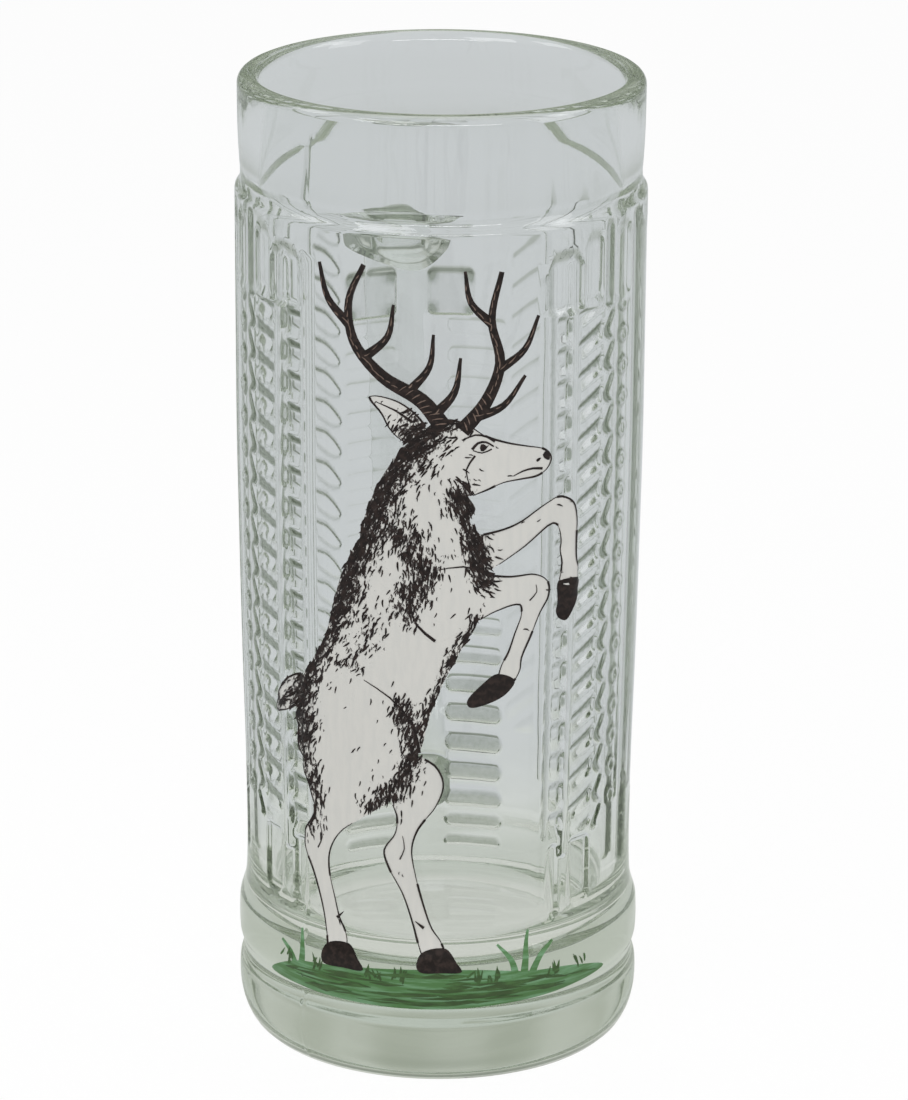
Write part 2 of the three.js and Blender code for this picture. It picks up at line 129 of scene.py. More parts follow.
def inside(outline: Sequence[Point], at: Point) -> bool:
    """Says whether a point lies inside a closed outline.

    Args:
        outline: The corners of the outline.
        at: The point that is asked for.

    Returns:
        True if the point lies inside.
    """
    within = False
    x, y = at
    for (x0, y0), (x1, y1) in zip(outline, [*outline[1:], outline[0]]):
        if (y0 > y) != (y1 > y) and x < (x1 - x0) * (y - y0) / (y1 - y0) + x0:
            within = not within
    return within


def distance(at: Point, line: Sequence[Point]) -> float:
    """Gives how far a point is from an open line.

    Args:
        at: The point.
        line: The corners of the line.

    Returns:
        The shortest distance.
    """
    best = inf
    place = Vector(at)
    for start, end in pairwise(map(Vector, line)):
        span = end - start
        share = min(1.0, max(0.0, (place - start).dot(span) / max(span.length_squared, 1e-9)))
        best = min(best, (place - start - span * share).length)
    return best


def put(name: str, data: bpy.types.ID) -> bpy.types.Object:
    """Puts a mesh, lamp or camera into the scene.

    Args:
        name: The object's name.
        data: What it shows.

    Returns:
        The object.
    """
    made = bpy.data.objects.new(name, data)
    bpy.context.scene.collection.objects.link(made)
    return made


@dataclass(frozen=True)
class Wire:
    """A socket of a shader, on which sums add Math nodes."""

    bench: "Bench"
    socket: bpy.types.NodeSocket

    def sum(self, operation: str, *values: "Wire | float") -> "Wire":
        """Adds one Math node and gives its result."""
        return self.bench.node("Math", dict(enumerate(values)), operation=operation)

    def __add__(self, other: "Wire | float") -> "Wire":
        """Adds."""
        return self.sum("ADD", self, other)

    def __rsub__(self, other: float) -> "Wire":
        """Is taken away from a number."""
        return self.sum("SUBTRACT", other, self)

    def __mul__(self, other: "Wire | float") -> "Wire":
        """Multiplies."""
        return self.sum("MULTIPLY", self, other)

    def most(self, other: "Wire | float") -> "Wire":
        """Takes the larger of two values."""
        return self.sum("MAXIMUM", self, other)

    def rise(self, low: float, high: float) -> "Wire":
        """Rises smoothly from 0 at low to 1 at high."""
        return self.bench.node("MapRange", {"Value": self, "From Min": low, "From Max": high},
                               interpolation_type="SMOOTHSTEP")


class Bench:
    """One material's or world's shader while it is put together."""

    def __init__(self, owner: bpy.types.Material | bpy.types.World) -> None:
        """Clears the owner's shader.

        Args:
            owner: The material or world.
        """
        owner.use_nodes = True
        self.tree = owner.node_tree
        self.tree.nodes.clear()
        kind = "World" if isinstance(owner, bpy.types.World) else "Material"
        self.end = self.tree.nodes.new(f"ShaderNodeOutput{kind}")

    def node(self, kind: str, sockets: dict[int | str, object] | None = None, result: int | str = 0,
             **settings: str) -> Wire:
        """Adds a node.

        Args:
            kind: The node's type, without ShaderNode before it.
            sockets: Values or wires for its inputs, by name or number.
            result: The output that is given back.
            settings: Its own settings.

        Returns:
            That output.
        """
        made = self.tree.nodes.new(f"ShaderNode{kind}")
        for name, value in settings.items():
            setattr(made, name, value)
        for name, value in (sockets or {}).items():
            if isinstance(value, Wire):
                self.tree.links.new(value.socket, made.inputs[name])
            else:
                made.inputs[name].default_value = value
        return Wire(self, made.outputs[result])

    def ray(self, kind: str) -> Wire:
        """Says whether a ray is of one kind: Camera, Glossy, Transmission or Shadow."""
        return self.node("LightPath", result=f"Is {kind} Ray")

    def mix(self, share: Wire | float, first: Wire | Colour, second: Wire | Colour) -> Wire:
        """Mixes two colours, of which share says how much of the second is taken."""
        full = [value if isinstance(value, Wire) else (*value, 1.0) for value in (first, second)]
        return self.node("Mix", {0: share, 6: full[0], 7: full[1]}, 2, data_type="RGBA")

    def stretched(self, place: Wire, size: Place, turn: float = 0.0) -> Wire:
        """Scales a place and turns it about Z before a pattern reads it."""
        return self.node("Mapping", {"Vector": place, "Scale": size, "Rotation": (0.0, 0.0, radians(turn))})

    def clouds(self, place: Wire, scale: float, detail: float = 3.0, rough: float = 0.55) -> Wire:
        """Adds a cloudy pattern from 0 to 1, with finer layers as detail and their strength as rough."""
        return self.node("TexNoise", {"Vector": place, "Scale": scale, "Detail": detail, "Roughness": rough},
                         noise_dimensions="3D")

    def bump(self, height: Wire, strength: float, reach: float) -> Wire:
        """Raises the surface by a height, as far as reach."""
        return self.node("Bump", {"Height": height, "Strength": strength, "Distance": reach})

    def close(self, shader: Wire, socket: str = "Surface") -> None:
        """Puts a finished shader on one socket of the output."""
        self.tree.links.new(shader.socket, self.end.inputs[socket])


@dataclass(frozen=True)
class Finish:
    """A finish by its name, with the slot that it belongs to."""

    name: str
    slot: str

    def dress(self, bench: Bench) -> None:
        """Puts the finish's shader together, as each kind of finish says."""
        raise NotImplementedError

    def material(self) -> bpy.types.Material:
        """Makes the material at its first use.

        Returns:
            The material.
        """
        made = bpy.data.materials.get(self.name)
        if made is None:
            made = bpy.data.materials.new(self.name)
            self.dress(Bench(made))
        return made


@dataclass(frozen=True)
class ClearGlass(Finish):
    """Clear pressed glass, grey-green where it is thick, with gentle ripples, and painted shade: a dark
    grey-green tint in the pattern's hollows and steep faces.
    """

    name: str = "clear_pressed_glass"
    slot: str = "glass_clear"
    tint: Colour = (0.965, 0.965, 0.97)
    deep: Colour = (0.94, 0.95, 0.945)
    tint_scale: float = 12.0
    shadow: Colour = (0.95, 0.965, 0.96)
    # Painted shade: the dark grey-green that tints the pattern's hollows and steep faces, standing in for the
    # dark that refraction gives there
    painted_shade: Colour = (0.2, 0.235, 0.17)
    painted_shade_scale: float = 900.0
    body: Colour = (0.5, 0.58, 0.4)
    thickness: float = 7.0
    bend: float = 1.5
    rough: float = 0.005
    ripple: float = 0.3
    ripple_height: float = 0.0003
    ripple_scales: Span = (40.0, 150.0)
    quick_ripple: float = 0.12
    ground_foot: Span = (0.0004, 0.004)

    def dress(self, bench: Bench) -> None:
        """Puts the glass together, through which the lamps' light passes.

        Args:
            bench: The material's shader.
        """
        place = bench.node("TexCoord", result="Object")
        above = bench.node("SeparateXYZ", {"Vector": place}, "Z").rise(*self.ground_foot)
        slow, quick = (bench.clouds(place, scale, 1.0) for scale in self.ripple_scales)
        ripples = bench.bump((slow + quick * self.quick_ripple) * above, self.ripple, self.ripple_height)
        colour = bench.mix(bench.clouds(place, self.tint_scale), self.tint, self.deep)
        # Painted shade: each vertex's share of that tint, broken up by a fine grain
        painted_shade = bench.node("Attribute", result="Fac", attribute_name="painted_shade")
        grain = bench.clouds(place, self.painted_shade_scale, 2.0) * 0.5 + 0.75
        glass = bench.node("BsdfPrincipled", {
            "Base Color": bench.mix(painted_shade * grain, colour, self.painted_shade), "Roughness": self.rough,
            "IOR": self.bend, "Transmission Weight": 1.0, "Normal": ripples}, "BSDF")
        clear = bench.node("BsdfTransparent", {"Color": (*self.shadow, 1.0)}, "BSDF")
        bench.close(bench.node("MixShader", {0: bench.ray("Shadow"), 1: glass, 2: clear}, "Shader"))
        depth = {"Color": (*self.body, 1.0), "Density": self.thickness}
        bench.close(bench.node("VolumeAbsorption", depth, "Volume"), "Volume")


@dataclass(frozen=True)
class CoatEnamel(Finish):
    """Ivory enamel with brush marks and dark dabs where the coat is thick."""

    name: str = "ivory_enamel"
    slot: str = "enamel_ivory"
    ivory: Colour = (0.62, 0.605, 0.57)
    cool: Colour = (0.59, 0.58, 0.55)
    umber: Colour = (0.03, 0.02, 0.017)
    gloss: float = 0.3
    fur_strength: float = 0.37
    brush_edge: Span = (0.35, 0.7)
    dab_edge: Span = (0.735, 0.775)
    fleck_edge: Span = (0.56, 0.62)
    fleck_strength: float = 0.85
    relief: float = 0.0001

    def dress(self, bench: Bench) -> None:
        """Puts the enamel together.

        Args:
            bench: The material's shader.
        """
        sheet = bench.node("UVMap", result="UV", uv_map="sheet")
        fur = bench.node("Attribute", result="Fac", attribute_name="fur")
        brush = bench.clouds(bench.stretched(sheet, (0.9, 0.2, 1.0), 14.0), 1.0, 4.0)
        dabs = bench.clouds(bench.stretched(sheet, (1.15, 0.6, 1.0), 18.0), 1.0, 5.0, 0.68)
        flecks = bench.clouds(bench.stretched(sheet, (2.6, 1.1, 1.0), 24.0), 1.0, 2.0).rise(*self.fleck_edge)
        cover = (dabs + fur * self.fur_strength).rise(*self.dab_edge) * (1.0 - flecks * self.fleck_strength)
        ground = bench.mix(brush.rise(*self.brush_edge), self.ivory, self.cool)
        bench.close(bench.node("BsdfPrincipled", {
            "Base Color": bench.mix(cover, ground, self.umber), "Roughness": brush * 0.15 + self.gloss,
            "Normal": bench.bump(brush * 0.5 + cover * 0.5, 0.25, self.relief)}, "BSDF"))


@dataclass(frozen=True)
class StreakedEnamel(Finish):
    """Enamel of one colour whose brush streaks run thin and thick."""

    thick: Colour
    thin: Colour
    streak: Place = (0.8, 0.8, 1.0)
    streak_edge: Span = (0.42, 0.66)
    gloss: float = 0.28
    shine: float = 0.5
    relief: float = 0.00012

    def dress(self, bench: Bench) -> None:
        """Puts the enamel together.

        Args:
            bench: The material's shader.
        """
        sheet = bench.node("UVMap", result="UV", uv_map="sheet")
        streaks = bench.clouds(bench.stretched(sheet, self.streak), 1.0, 4.0, 0.62)
        share = streaks.rise(*self.streak_edge)
        bench.close(bench.node("BsdfPrincipled", {
            "Base Color": bench.mix(share, self.thick, self.thin), "Roughness": share * 0.15 + self.gloss,
            "Specular IOR Level": self.shine, "Normal": bench.bump(streaks, 0.3, self.relief)}, "BSDF"))


GLASS = ClearGlass()
IVORY = CoatEnamel()
UMBER = StreakedEnamel("umber_enamel", "enamel_umber", (0.012, 0.008, 0.007), (0.03, 0.019, 0.016),
                       shine=0.22)
BROWN = StreakedEnamel("brown_enamel", "enamel_umber", (0.13, 0.085, 0.065), (0.2, 0.14, 0.11))
GREEN = StreakedEnamel("grass_enamel", "enamel_grass", (0.06, 0.16, 0.045), (0.15, 0.3, 0.16),
                       (0.07, 0.8, 1.0))
DARK_GREEN = StreakedEnamel("dark_grass_enamel", "enamel_grass", (0.03, 0.065, 0.014), (0.05, 0.125, 0.03),
                            (0.2, 0.9, 1.0))


def hand_over(name: str, mesh: Mesh, finish: Finish, *nodes: str) -> None:
    """Makes a finished mesh one piece that rides on the stein.

    Args:
        name: The piece's name.
        mesh: Its mesh in millimetres, which is used up.
        finish: Its finish.
        nodes: The nodes that it stands for.
    """
    bmesh.ops.scale(mesh, vec=(MM, MM, MM), verts=mesh.verts)
    data = bpy.data.meshes.new(name)
    mesh.to_mesh(data)
    mesh.free()
    data.polygons.foreach_set("use_smooth", [True] * len(data.polygons))
    data.materials.append(finish.material())
    made = put(name, data)
    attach(made, "root")
    for node in nodes:
        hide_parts(node)
    LOG.info("%s: %d faces", name, len(data.polygons))


NOTCH_TOP = 150.6
NOTCH_PITCH = 6.1
NOTCHES = 17
NOTCH_FOOT = NOTCH_TOP - NOTCH_PITCH * NOTCHES
NOTCH_LOW = NOTCH_FOOT - NOTCH_PITCH * 2
RUNGS_FOOT = NOTCH_LOW - NOTCH_PITCH * 2.7
# Millimetres round the glass in one degree
ARC = 0.67
# Bands with a coarser step than this have columns at the side step near their sides
COARSE_STEP = 2.0
SIDE_STEP = 0.65


class Relief(Enum):
    """The kinds of bands pressed into the glass, by the name of their shape in Spot."""

    RIDGE = "ridge"
    BAR = "bar"
    GROOVE = "groove"
    SCALLOPS = "scallops"
    LADDER = "ladder"
    RUNGS = "rungs"
    HOLLOW = "hollow"
    FEATHER = "feather"
    LEAVES = "leaves"
    BEADS = "beads"
    FLUTE = "flute"


@dataclass(frozen=True)
class Band:
    """One upright band of the pattern, between two offsets from its middle line."""

    kind: Relief
    near: float
    far: float
    top: float = NOTCH_TOP
    foot: float = NOTCH_FOOT
    depth: float = 0.8
    step: float = 0.8
    lean: float = 0.6
    side: int = 0
    # Strength of the painted shade that darkens the band's hollows and steep faces
    painted_shade: float = 0.0
    fill: float = 0.0

    def press(self, offset: float, height: float) -> Point:
        """Gives how far the band stands out of the glass and how much painted shade tints it.

        Args:
            offset: The offset from the middle line, in degrees.
            height: The height above the table.

        Returns:
            Millimetres outwards, negative where the glass is hollowed, and the painted shade from 0 to 1.
        """
        share = (offset - self.near) / (self.far - self.near)
        if not 0.0 <= share <= 1.0 or not self.foot <= height <= self.top:
            return 0.0, 0.0
        lift, painted_shade = getattr(Spot(self, share, (offset - self.near) * ARC, height), self.kind.value)()
        return self.depth * lift, self.painted_shade * painted_shade

    def offsets(self) -> list[float]:
        """Spaces the mesh's columns across the band, closer at the sides of a coarse one.

        Returns:
            Offsets from the middle line, in degrees.
        """
        width = self.far - self.near
        count = max(3, ceil(width / self.step))
        places = [self.near + width * k / count for k in range(count + 1)]
        for k in range(1, 5) if self.step > COARSE_STEP else ():
            places += [self.near + k * SIDE_STEP, self.far - k * SIDE_STEP]
        return places


@dataclass(frozen=True)
class Spot:
    """A place in a band. Each shape gives its lift there, below 0 in a hollow, and its painted shade up to 1.
    """

    band: Band
    share: float
    across: float
    height: float

    @property
    def width(self) -> float:
        """The band's width."""
        return (self.band.far - self.band.near) * ARC

    @property
    def side(self) -> float:
        """How far off the band's middle the place is: 1 at both sides."""
        return abs(2.0 * self.share - 1.0)

    @property
    def ends(self) -> float:
        """Lets the band run out within a millimetre of both ends."""
        return window(self.band.foot + 1, self.band.top - 1, 1, self.height)

    def turn(self, lean: float = 0.0) -> float:
        """Gives the place within one notch, from 0 at its top to 1."""
        return ((NOTCH_TOP - (self.height - lean * self.across)) / NOTCH_PITCH) % 1.0

    def sides(self, margin: float = 0.1, edge: float = 0.1) -> float:
        """Lets the band run out at its sides, from a margin outwards."""
        return window(margin, 1.0 - margin, edge, self.share)

    def hole(self, rise: float, half: float, corner: float) -> float:
        """Gives the depth of a hollow with round corners and steep sides.

        Args:
            rise: The place over the hollow's middle.
            half: Half the hollow's height.
            corner: The radius of its corners.

        Returns:
            A share from 0 to 1.
        """
        past = (abs(self.across - self.width / 2) - self.width / 2 + corner, abs(rise) - half + corner)
        out = hypot(max(0.0, past[0]), max(0.0, past[1])) + min(0.0, max(past)) - corner
        return 1.0 - smooth(-0.85, 0.0, out)

    def ridge(self) -> Point:
        """A thin raised line."""
        return sin(pi * self.share) * self.ends, 0.0

    def bar(self) -> Point:
        """A half-round bar with rounded ends and a thin painted shade along its sides.

        Returns:
            Its lift and painted shade.
        """
        reach = min(self.band.top - self.height, self.height - self.band.foot) / (self.width / 2)
        end = sqrt(max(0.0, 1.0 - (1.0 - min(1.0, reach)) ** 2))
        return sqrt(max(0.0, 1.0 - self.side**2)) * end, smooth(0.75, 1.0, self.side) * end

    def groove(self) -> Point:
        """A straight groove with slanting sides, with painted shade darkest along its middle."""
        return -(1.0 - self.side**1.25) * self.ends, (1.0 - self.side) * self.ends

    def scallops(self) -> Point:
        """A groove in separate arcs, each thicker towards its foot and hooked outwards there.

        Returns:
            Its lift and painted shade.
        """
        turn = (self.turn() - 0.23) % 1.0
        middle = 0.82 - 0.55 * sin(pi * turn**1.8)
        half = 0.16 + 0.2 * turn
        ends = smooth(0.0, 0.2, turn) * (1.0 - smooth(0.88, 1.0, turn))
        level = max(0.0, 1.0 - ((self.share - middle) / half) ** 2) * (0.25 + 0.75 * ends)
        return -level, smooth(0.1, 0.7, level)

    def ladder(self) -> Point:
        """A notch: a steep face with painted shade that grows outwards, a flat floor with fainter painted shade
        and a long bevel that faces up.

        Returns:
            Its lift and painted shade.
        """
        turn = self.turn()
        start = 0.13 * (1.0 - self.share)
        level = min(1.0, max(0.0, (turn - start) / (0.28 - start)), (1.0 - turn) / 0.36)
        face = window(start + 0.02, start + 0.14 + 0.13 * self.share, 0.05, turn)
        floor = 0.28 * window(0.42, 0.56 + 0.12 * self.share, 0.05, turn)
        return -level * self.sides(), max(face, floor) * self.sides(0.04, 0.06)

    def rungs(self) -> Point:
        """Round-ended slots, one in each notch, deeper and with more painted shade towards the foot.

        Returns:
            Their lift and painted shade.
        """
        fall = (self.turn() - 0.47) * NOTCH_PITCH
        level = self.hole(fall, 2.15, 2.0)
        low = 1.0 - smooth(45.0, 100.0, self.height)
        edge = 1.9 - 3.6 * low * low
        return -level * (0.45 + 0.55 * low), level * (0.25 + 0.75 * low) * smooth(edge - 0.5, edge, fall)

    def hollow(self) -> Point:
        """One hollow with round corners, as high as the band, with painted shade strongest in its corners.

        Returns:
            Its lift and painted shade.
        """
        half = (self.band.top - self.band.foot) / 2
        rise = self.height - (self.band.top + self.band.foot) / 2
        level = self.hole(rise, half, 1.5)
        corner = smooth(0.35, 0.85, self.side) * smooth(0.2, 0.75, abs(rise) / half)
        return -level, level * (0.15 + 0.85 * corner)

    def feather(self) -> Point:
        """Slanting slots, steep and darkened with painted shade above and gentle below.

        Returns:
            Their lift and painted shade.
        """
        turn = self.turn(self.band.lean)
        level = smooth(0.0, 0.24, turn) * (1.0 - smooth(0.3, 0.75, turn)) * self.ends
        dark = window(0.03, 0.19 + self.band.fill + 0.17 * self.share, 0.05, turn) * self.sides(0.1, 0.08)
        return -level * self.sides(0.08, 0.08), dark * self.ends

    def leaves(self) -> Point:
        """Slanting leaf-shaped hollows with an outline of painted shade.

        Returns:
            Their lift and painted shade.
        """
        fall = abs(self.turn(self.band.lean) - 0.5) * NOTCH_PITCH
        half = 2.2 * sin(pi * self.share) ** 0.7
        level = (1.0 - smooth(0.6 * half, half, fall)) if half > 0.2 else 0.0
        outline = exp(-((fall - half) / 0.4) ** 2) * self.sides(0.06, 0.05)
        return -level * self.ends, outline * self.ends

    def beads(self) -> Point:
        """A hollowed chain of ring-shaped beads, each ringed with painted shade.

        Returns:
            Its lift and painted shade.
        """
        fall = ((self.turn() + 0.31) % 1.0 - 0.5) * NOTCH_PITCH
        from_middle = hypot(self.across - self.width / 2, fall * 0.92)
        ring = exp(-((from_middle - 1.25) / 0.4) ** 2)
        rim = exp(-((from_middle - 1.75) / 0.3) ** 2)
        inner = self.sides() * self.ends
        return (1.1 * ring - 0.6) * inner, rim * inner

    def flute(self) -> Point:
        """A shallow hollow with an arched top, with painted shade along its arch.

        Returns:
            Its lift and painted shade.
        """
        below = self.band.top - (1.0 - sqrt(max(0.0, 1.0 - self.side**2))) * self.width / 2 - self.height
        start = smooth(0.0, 0.8, below)
        rim = window(0.1, 0.8, 0.3, below) + 0.6 * smooth(0.7, 0.95, self.side) * start
        return -start * self.sides(), min(1.0, rim) * smooth(-12.0, -2.0, self.height - self.band.top)


# Each band also gives a strength of painted shade, a darker glass colour in its hollows standing in for shade
FRONT_BANDS = (
    Band(Relief.RIDGE, 33.9, 35.7, 161.0, 47.0, 0.3, 0.6, side=-1),
    Band(Relief.LADDER, 35.9, 41.4, depth=0.6, side=-1, painted_shade=1.5),
    Band(Relief.BAR, 41.7, 45.7, 159.6, 43.0, 0.6, side=-1, painted_shade=0.3),
    Band(Relief.HOLLOW, 36.0, 41.4, 46.4, 31.0, 0.6, side=-1, painted_shade=0.2),
    Band(Relief.GROOVE, 36.8, 39.0, 161.0, 47.0, 0.3, 0.6, side=1, painted_shade=0.7),
    Band(Relief.LADDER, 39.2, 43.2, depth=0.5, side=1, painted_shade=0.45),
    Band(Relief.BAR, 43.4, 46.4, 159.6, 43.0, 0.5, side=1, painted_shade=0.3),
    Band(Relief.HOLLOW, 39.2, 43.4, 46.4, 31.0, 0.5, side=1, painted_shade=0.2),
    Band(Relief.FLUTE, 36.0, 48.6, 162.0, NOTCH_TOP, 0.8, painted_shade=0.5),
    Band(Relief.FEATHER, 46.4, 56.4, NOTCH_TOP, 47.5, 0.3, lean=0.32, side=-1, painted_shade=1.2, fill=0.07),
    Band(Relief.FEATHER, 46.4, 56.4, NOTCH_TOP, 47.5, 0.6, lean=0.5, side=1, painted_shade=1.0),
    Band(Relief.HOLLOW, 46.8, 56.0, 46.4, 33.0, 0.5, painted_shade=0.3),
    Band(Relief.FLUTE, 49.0, 56.2, 164.4, 151.0, 0.5, painted_shade=0.3),
    Band(Relief.GROOVE, 57.2, 61.0, 166.4, 150.0, 0.6, 0.6, painted_shade=0.5),
    Band(Relief.SCALLOPS, 56.6, 61.6, NOTCH_TOP, 46.9, 0.5, 0.6, painted_shade=1.0),
    Band(Relief.BEADS, 62.6, 70.6, 150.0, 50.0, 0.35, painted_shade=0.8),
    Band(Relief.FLUTE, 63.0, 70.6, 165.0, 151.0, 0.4, painted_shade=0.25),
    Band(Relief.GROOVE, 72.0, 78.6, 166.4, 36.0, 0.5, 1.1, painted_shade=0.6),
)
BACK_BANDS = (
    Band(Relief.HOLLOW, 8.3, 27.2, 141.0, 131.2, 0.8, 2.4, side=1, painted_shade=1.5),
    Band(Relief.HOLLOW, 1.2, 17.2, 141.0, 131.2, 0.8, 2.4, side=-1, painted_shade=1.5),
    Band(Relief.RUNGS, 7.6, 28.2, 131.0, RUNGS_FOOT, 0.8, 2.8, painted_shade=0.8),
    Band(Relief.LEAVES, 28.8, 41.8, NOTCH_TOP, 44.0, 0.5, 0.9, 0.75, side=1, painted_shade=0.6),
    Band(Relief.FEATHER, 29.0, 41.0, NOTCH_TOP, 47.5, 0.4, 1.1, 0.75, side=-1, painted_shade=0.12),
    Band(Relief.GROOVE, 42.6, 45.2, 168.9, 38.0, 0.7, 0.6, side=1, painted_shade=0.5),
    Band(Relief.GROOVE, 42.6, 45.2, 160.0, 38.0, 0.4, 0.6, side=-1, painted_shade=0.3),
    Band(Relief.BAR, 48.0, 53.0, 150.0, 40.0, 0.4, 1.0),
    Band(Relief.FLUTE, 54.5, 63.0, 161.0, 47.0, 0.4, 1.2, painted_shade=0.2),
)
SIDE_BANDS = (Band(Relief.FLUTE, 4.6, 12.4, 161.0, 47.0, 0.4, 1.3, painted_shade=0.2),)
SEAMS = (Band(Relief.RIDGE, 59.2, 60.8, 34.0, 0.3, 0.14, 0.7, side=-1),)
FRONT = -11.5
GROUPS = ((FRONT, FRONT_BANDS), (180.0, BACK_BANDS), (90.5, SIDE_BANDS), (-99.5, SIDE_BANDS), (12.3, SEAMS))


@dataclass(frozen=True)
class PressedPattern:
    """The groups of bands, each at both sides of a middle line."""

    reach: float = 80.0
    plain: float = 3.4
    wide: float = 1.4
    least: float = 0.4

    def press(self, azimuth: float, height: float) -> Point:
        """Gives how far the pattern stands out of the glass at a place, and its painted shade.

        Args:
            azimuth: The azimuth.
            height: The height above the table.

        Returns:
            Millimetres outwards, and the painted shade from 0 to 1.
        """
        lift, painted_shade = 0.0, 0.0
        for middle, bands in GROUPS:
            offset = (azimuth - middle + FULL_TURN / 2) % FULL_TURN - FULL_TURN / 2
            for band in bands if abs(offset) <= self.reach else ():
                if band.side * offset >= 0.0:
                    rise, grey = band.press(abs(offset), height)
                    lift += rise
                    painted_shade = max(painted_shade, grey)
        return lift, painted_shade

    def stations(self) -> list[float]:
        """Spaces the mesh's columns: closely in the bands and widely where the glass is plain.

        Returns:
            Azimuths from 0 to 360, in order.
        """
        marks = sorted((middle + side * offset) % FULL_TURN for middle, bands in GROUPS for band in bands
                       for side in (-1, 1) if side * band.side >= 0 for offset in band.offsets())
        spaced = marks[:1]
        for mark in marks[1:]:
            gap = mark - spaced[-1]
            if gap > self.wide * self.plain:
                spaced += self.filled(spaced[-1], gap)
            if gap > self.least:
                spaced.append(mark)
        spaced += self.filled(spaced[-1], spaced[0] + FULL_TURN - spaced[-1])
        return sorted(value % FULL_TURN for value in spaced)

    def filled(self, start: float, gap: float) -> list[float]:
        """Spaces the columns evenly within a gap of plain glass."""
        count = ceil(gap / self.plain)
        return [start + gap * k / count for k in range(1, count)]


@dataclass(frozen=True)
class VesselForm:
    """The turned form of the vessel: outside by its keys as (height, radius), and inside."""

    height: float
    wall: float = 4.1
    bore_foot: float = 32.6
    floor: float = 19.2
    fillet: float = 14.0
    arc_steps: int = 12
    bore_steps: int = 8
    keys: tuple[Point, ...] = (
        (0.0, 35.4), (0.9, 36.4), (2.7, 37.5), (4.3, 38.1), (5.8, 38.45), (7.5, 38.7), (9.4, 38.79),
        (11.2, 38.74), (12.2, 38.6), (13.9, 38.06), (14.8, 37.97), (16.0, 38.06), (18.2, 38.68),
        (21.2, 38.8), (24.6, 38.7), (26.4, 38.2), (28.6, 37.6), (31.5, 37.32), (38.0, 37.2),
        (54.0, 37.4), (75.0, 37.92), (95.0, 38.3), (126.0, 38.7), (166.2, 38.72), (166.9, 38.64),
        (168.1, 37.9), (169.2, 37.68), (170.5, 37.66), (172.0, 37.8), (180.0, 38.1), (187.0, 38.15))
    row_zones: tuple[tuple[float, float, int], ...] = (
        (0.0, 5.8, 5), (5.8, 11.2, 4), (11.2, 14.8, 7), (14.8, 18.2, 4), (18.2, NOTCH_LOW, 24),
        (NOTCH_TOP, 166.0, 11), (166.0, 171.4, 11))
    notch_rows: tuple[float, ...] = (0.0, 0.07, 0.14, 0.21, 0.28, 0.36, 0.45, 0.54, 0.64, 0.73, 0.82, 0.91)
    band_rows: int = 4

    @cached_property
    def slopes(self) -> list[float]:
        """The slope at each key, level where the form turns back.

        Returns:
            Millimetres outwards in one millimetre upwards.
        """
        rates = [(after[1] - before[1]) / (after[0] - before[0]) for before, after in pairwise(self.keys)]
        inner = [2.0 * low * high / (low + high) if low * high > 0.0 else 0.0 for low, high in pairwise(rates)]
        return [rates[0], *inner, rates[-1]]

    def outer(self, height: float) -> float:
        """Gives the outer radius at a height, without overshooting between its keys.

        Args:
            height: The height above the table.

        Returns:
            The radius.
        """
        height = min(max(height, self.keys[0][0]), self.keys[-1][0])
        index = max(k for k, key in enumerate(self.keys[:-1]) if key[0] <= height)
        (low, start), (high, end) = self.keys[index:index + 2]
        leaving, arriving = ((high - low) * slope for slope in self.slopes[index:index + 2])
        return eased((height - low) / (high - low), start, leaving, end, arriving)

    def rows(self) -> list[float]:
        """Spaces the mesh's rows up the outside, closely where the pattern lies.

        Returns:
            Heights from the foot to the rim, in order.
        """
        lip = self.height - self.wall / 2
        zones = (*self.row_zones, (self.row_zones[-1][1], lip, self.band_rows))
        heights = [low + (high - low) * k / count for low, high, count in zones for k in range(count)]
        heights += [NOTCH_TOP - NOTCH_PITCH * (notch + turn) for notch in range(NOTCHES + 2)
                    for turn in self.notch_rows if notch + turn > 0.0]
        return [*sorted(heights), lip]

    def section(self) -> list[Point]:
        """Draws the whole section from the middle of the underside to the middle of the floor.

        Returns:
            Points as (radius, height).
        """
        lip = self.wall / 2
        middle, top = self.outer(self.height) - lip, self.height - lip
        low, inner = self.floor + self.fillet, self.bore_foot - self.fillet
        turns = [pi * step / self.arc_steps for step in range(1, self.arc_steps + 1)]
        shares = [step / self.bore_steps for step in range(1, self.bore_steps + 1)]
        return [
            *((self.outer(0.0) * share, 0.0) for share in (0.0, 0.4, 0.75, 0.97)),
            *((self.outer(height), height) for height in self.rows()),
            *((middle + lip * cos(turn), top + lip * sin(turn)) for turn in turns),
            *((middle - lip + (self.bore_foot - middle + lip) * share, top + (low - top) * share)
              for share in shares),
            *((inner + self.fillet * cos(turn / 2), low - self.fillet * sin(turn / 2)) for turn in turns),
            *((inner * share, self.floor) for share in (0.7, 0.35, 0.0))]


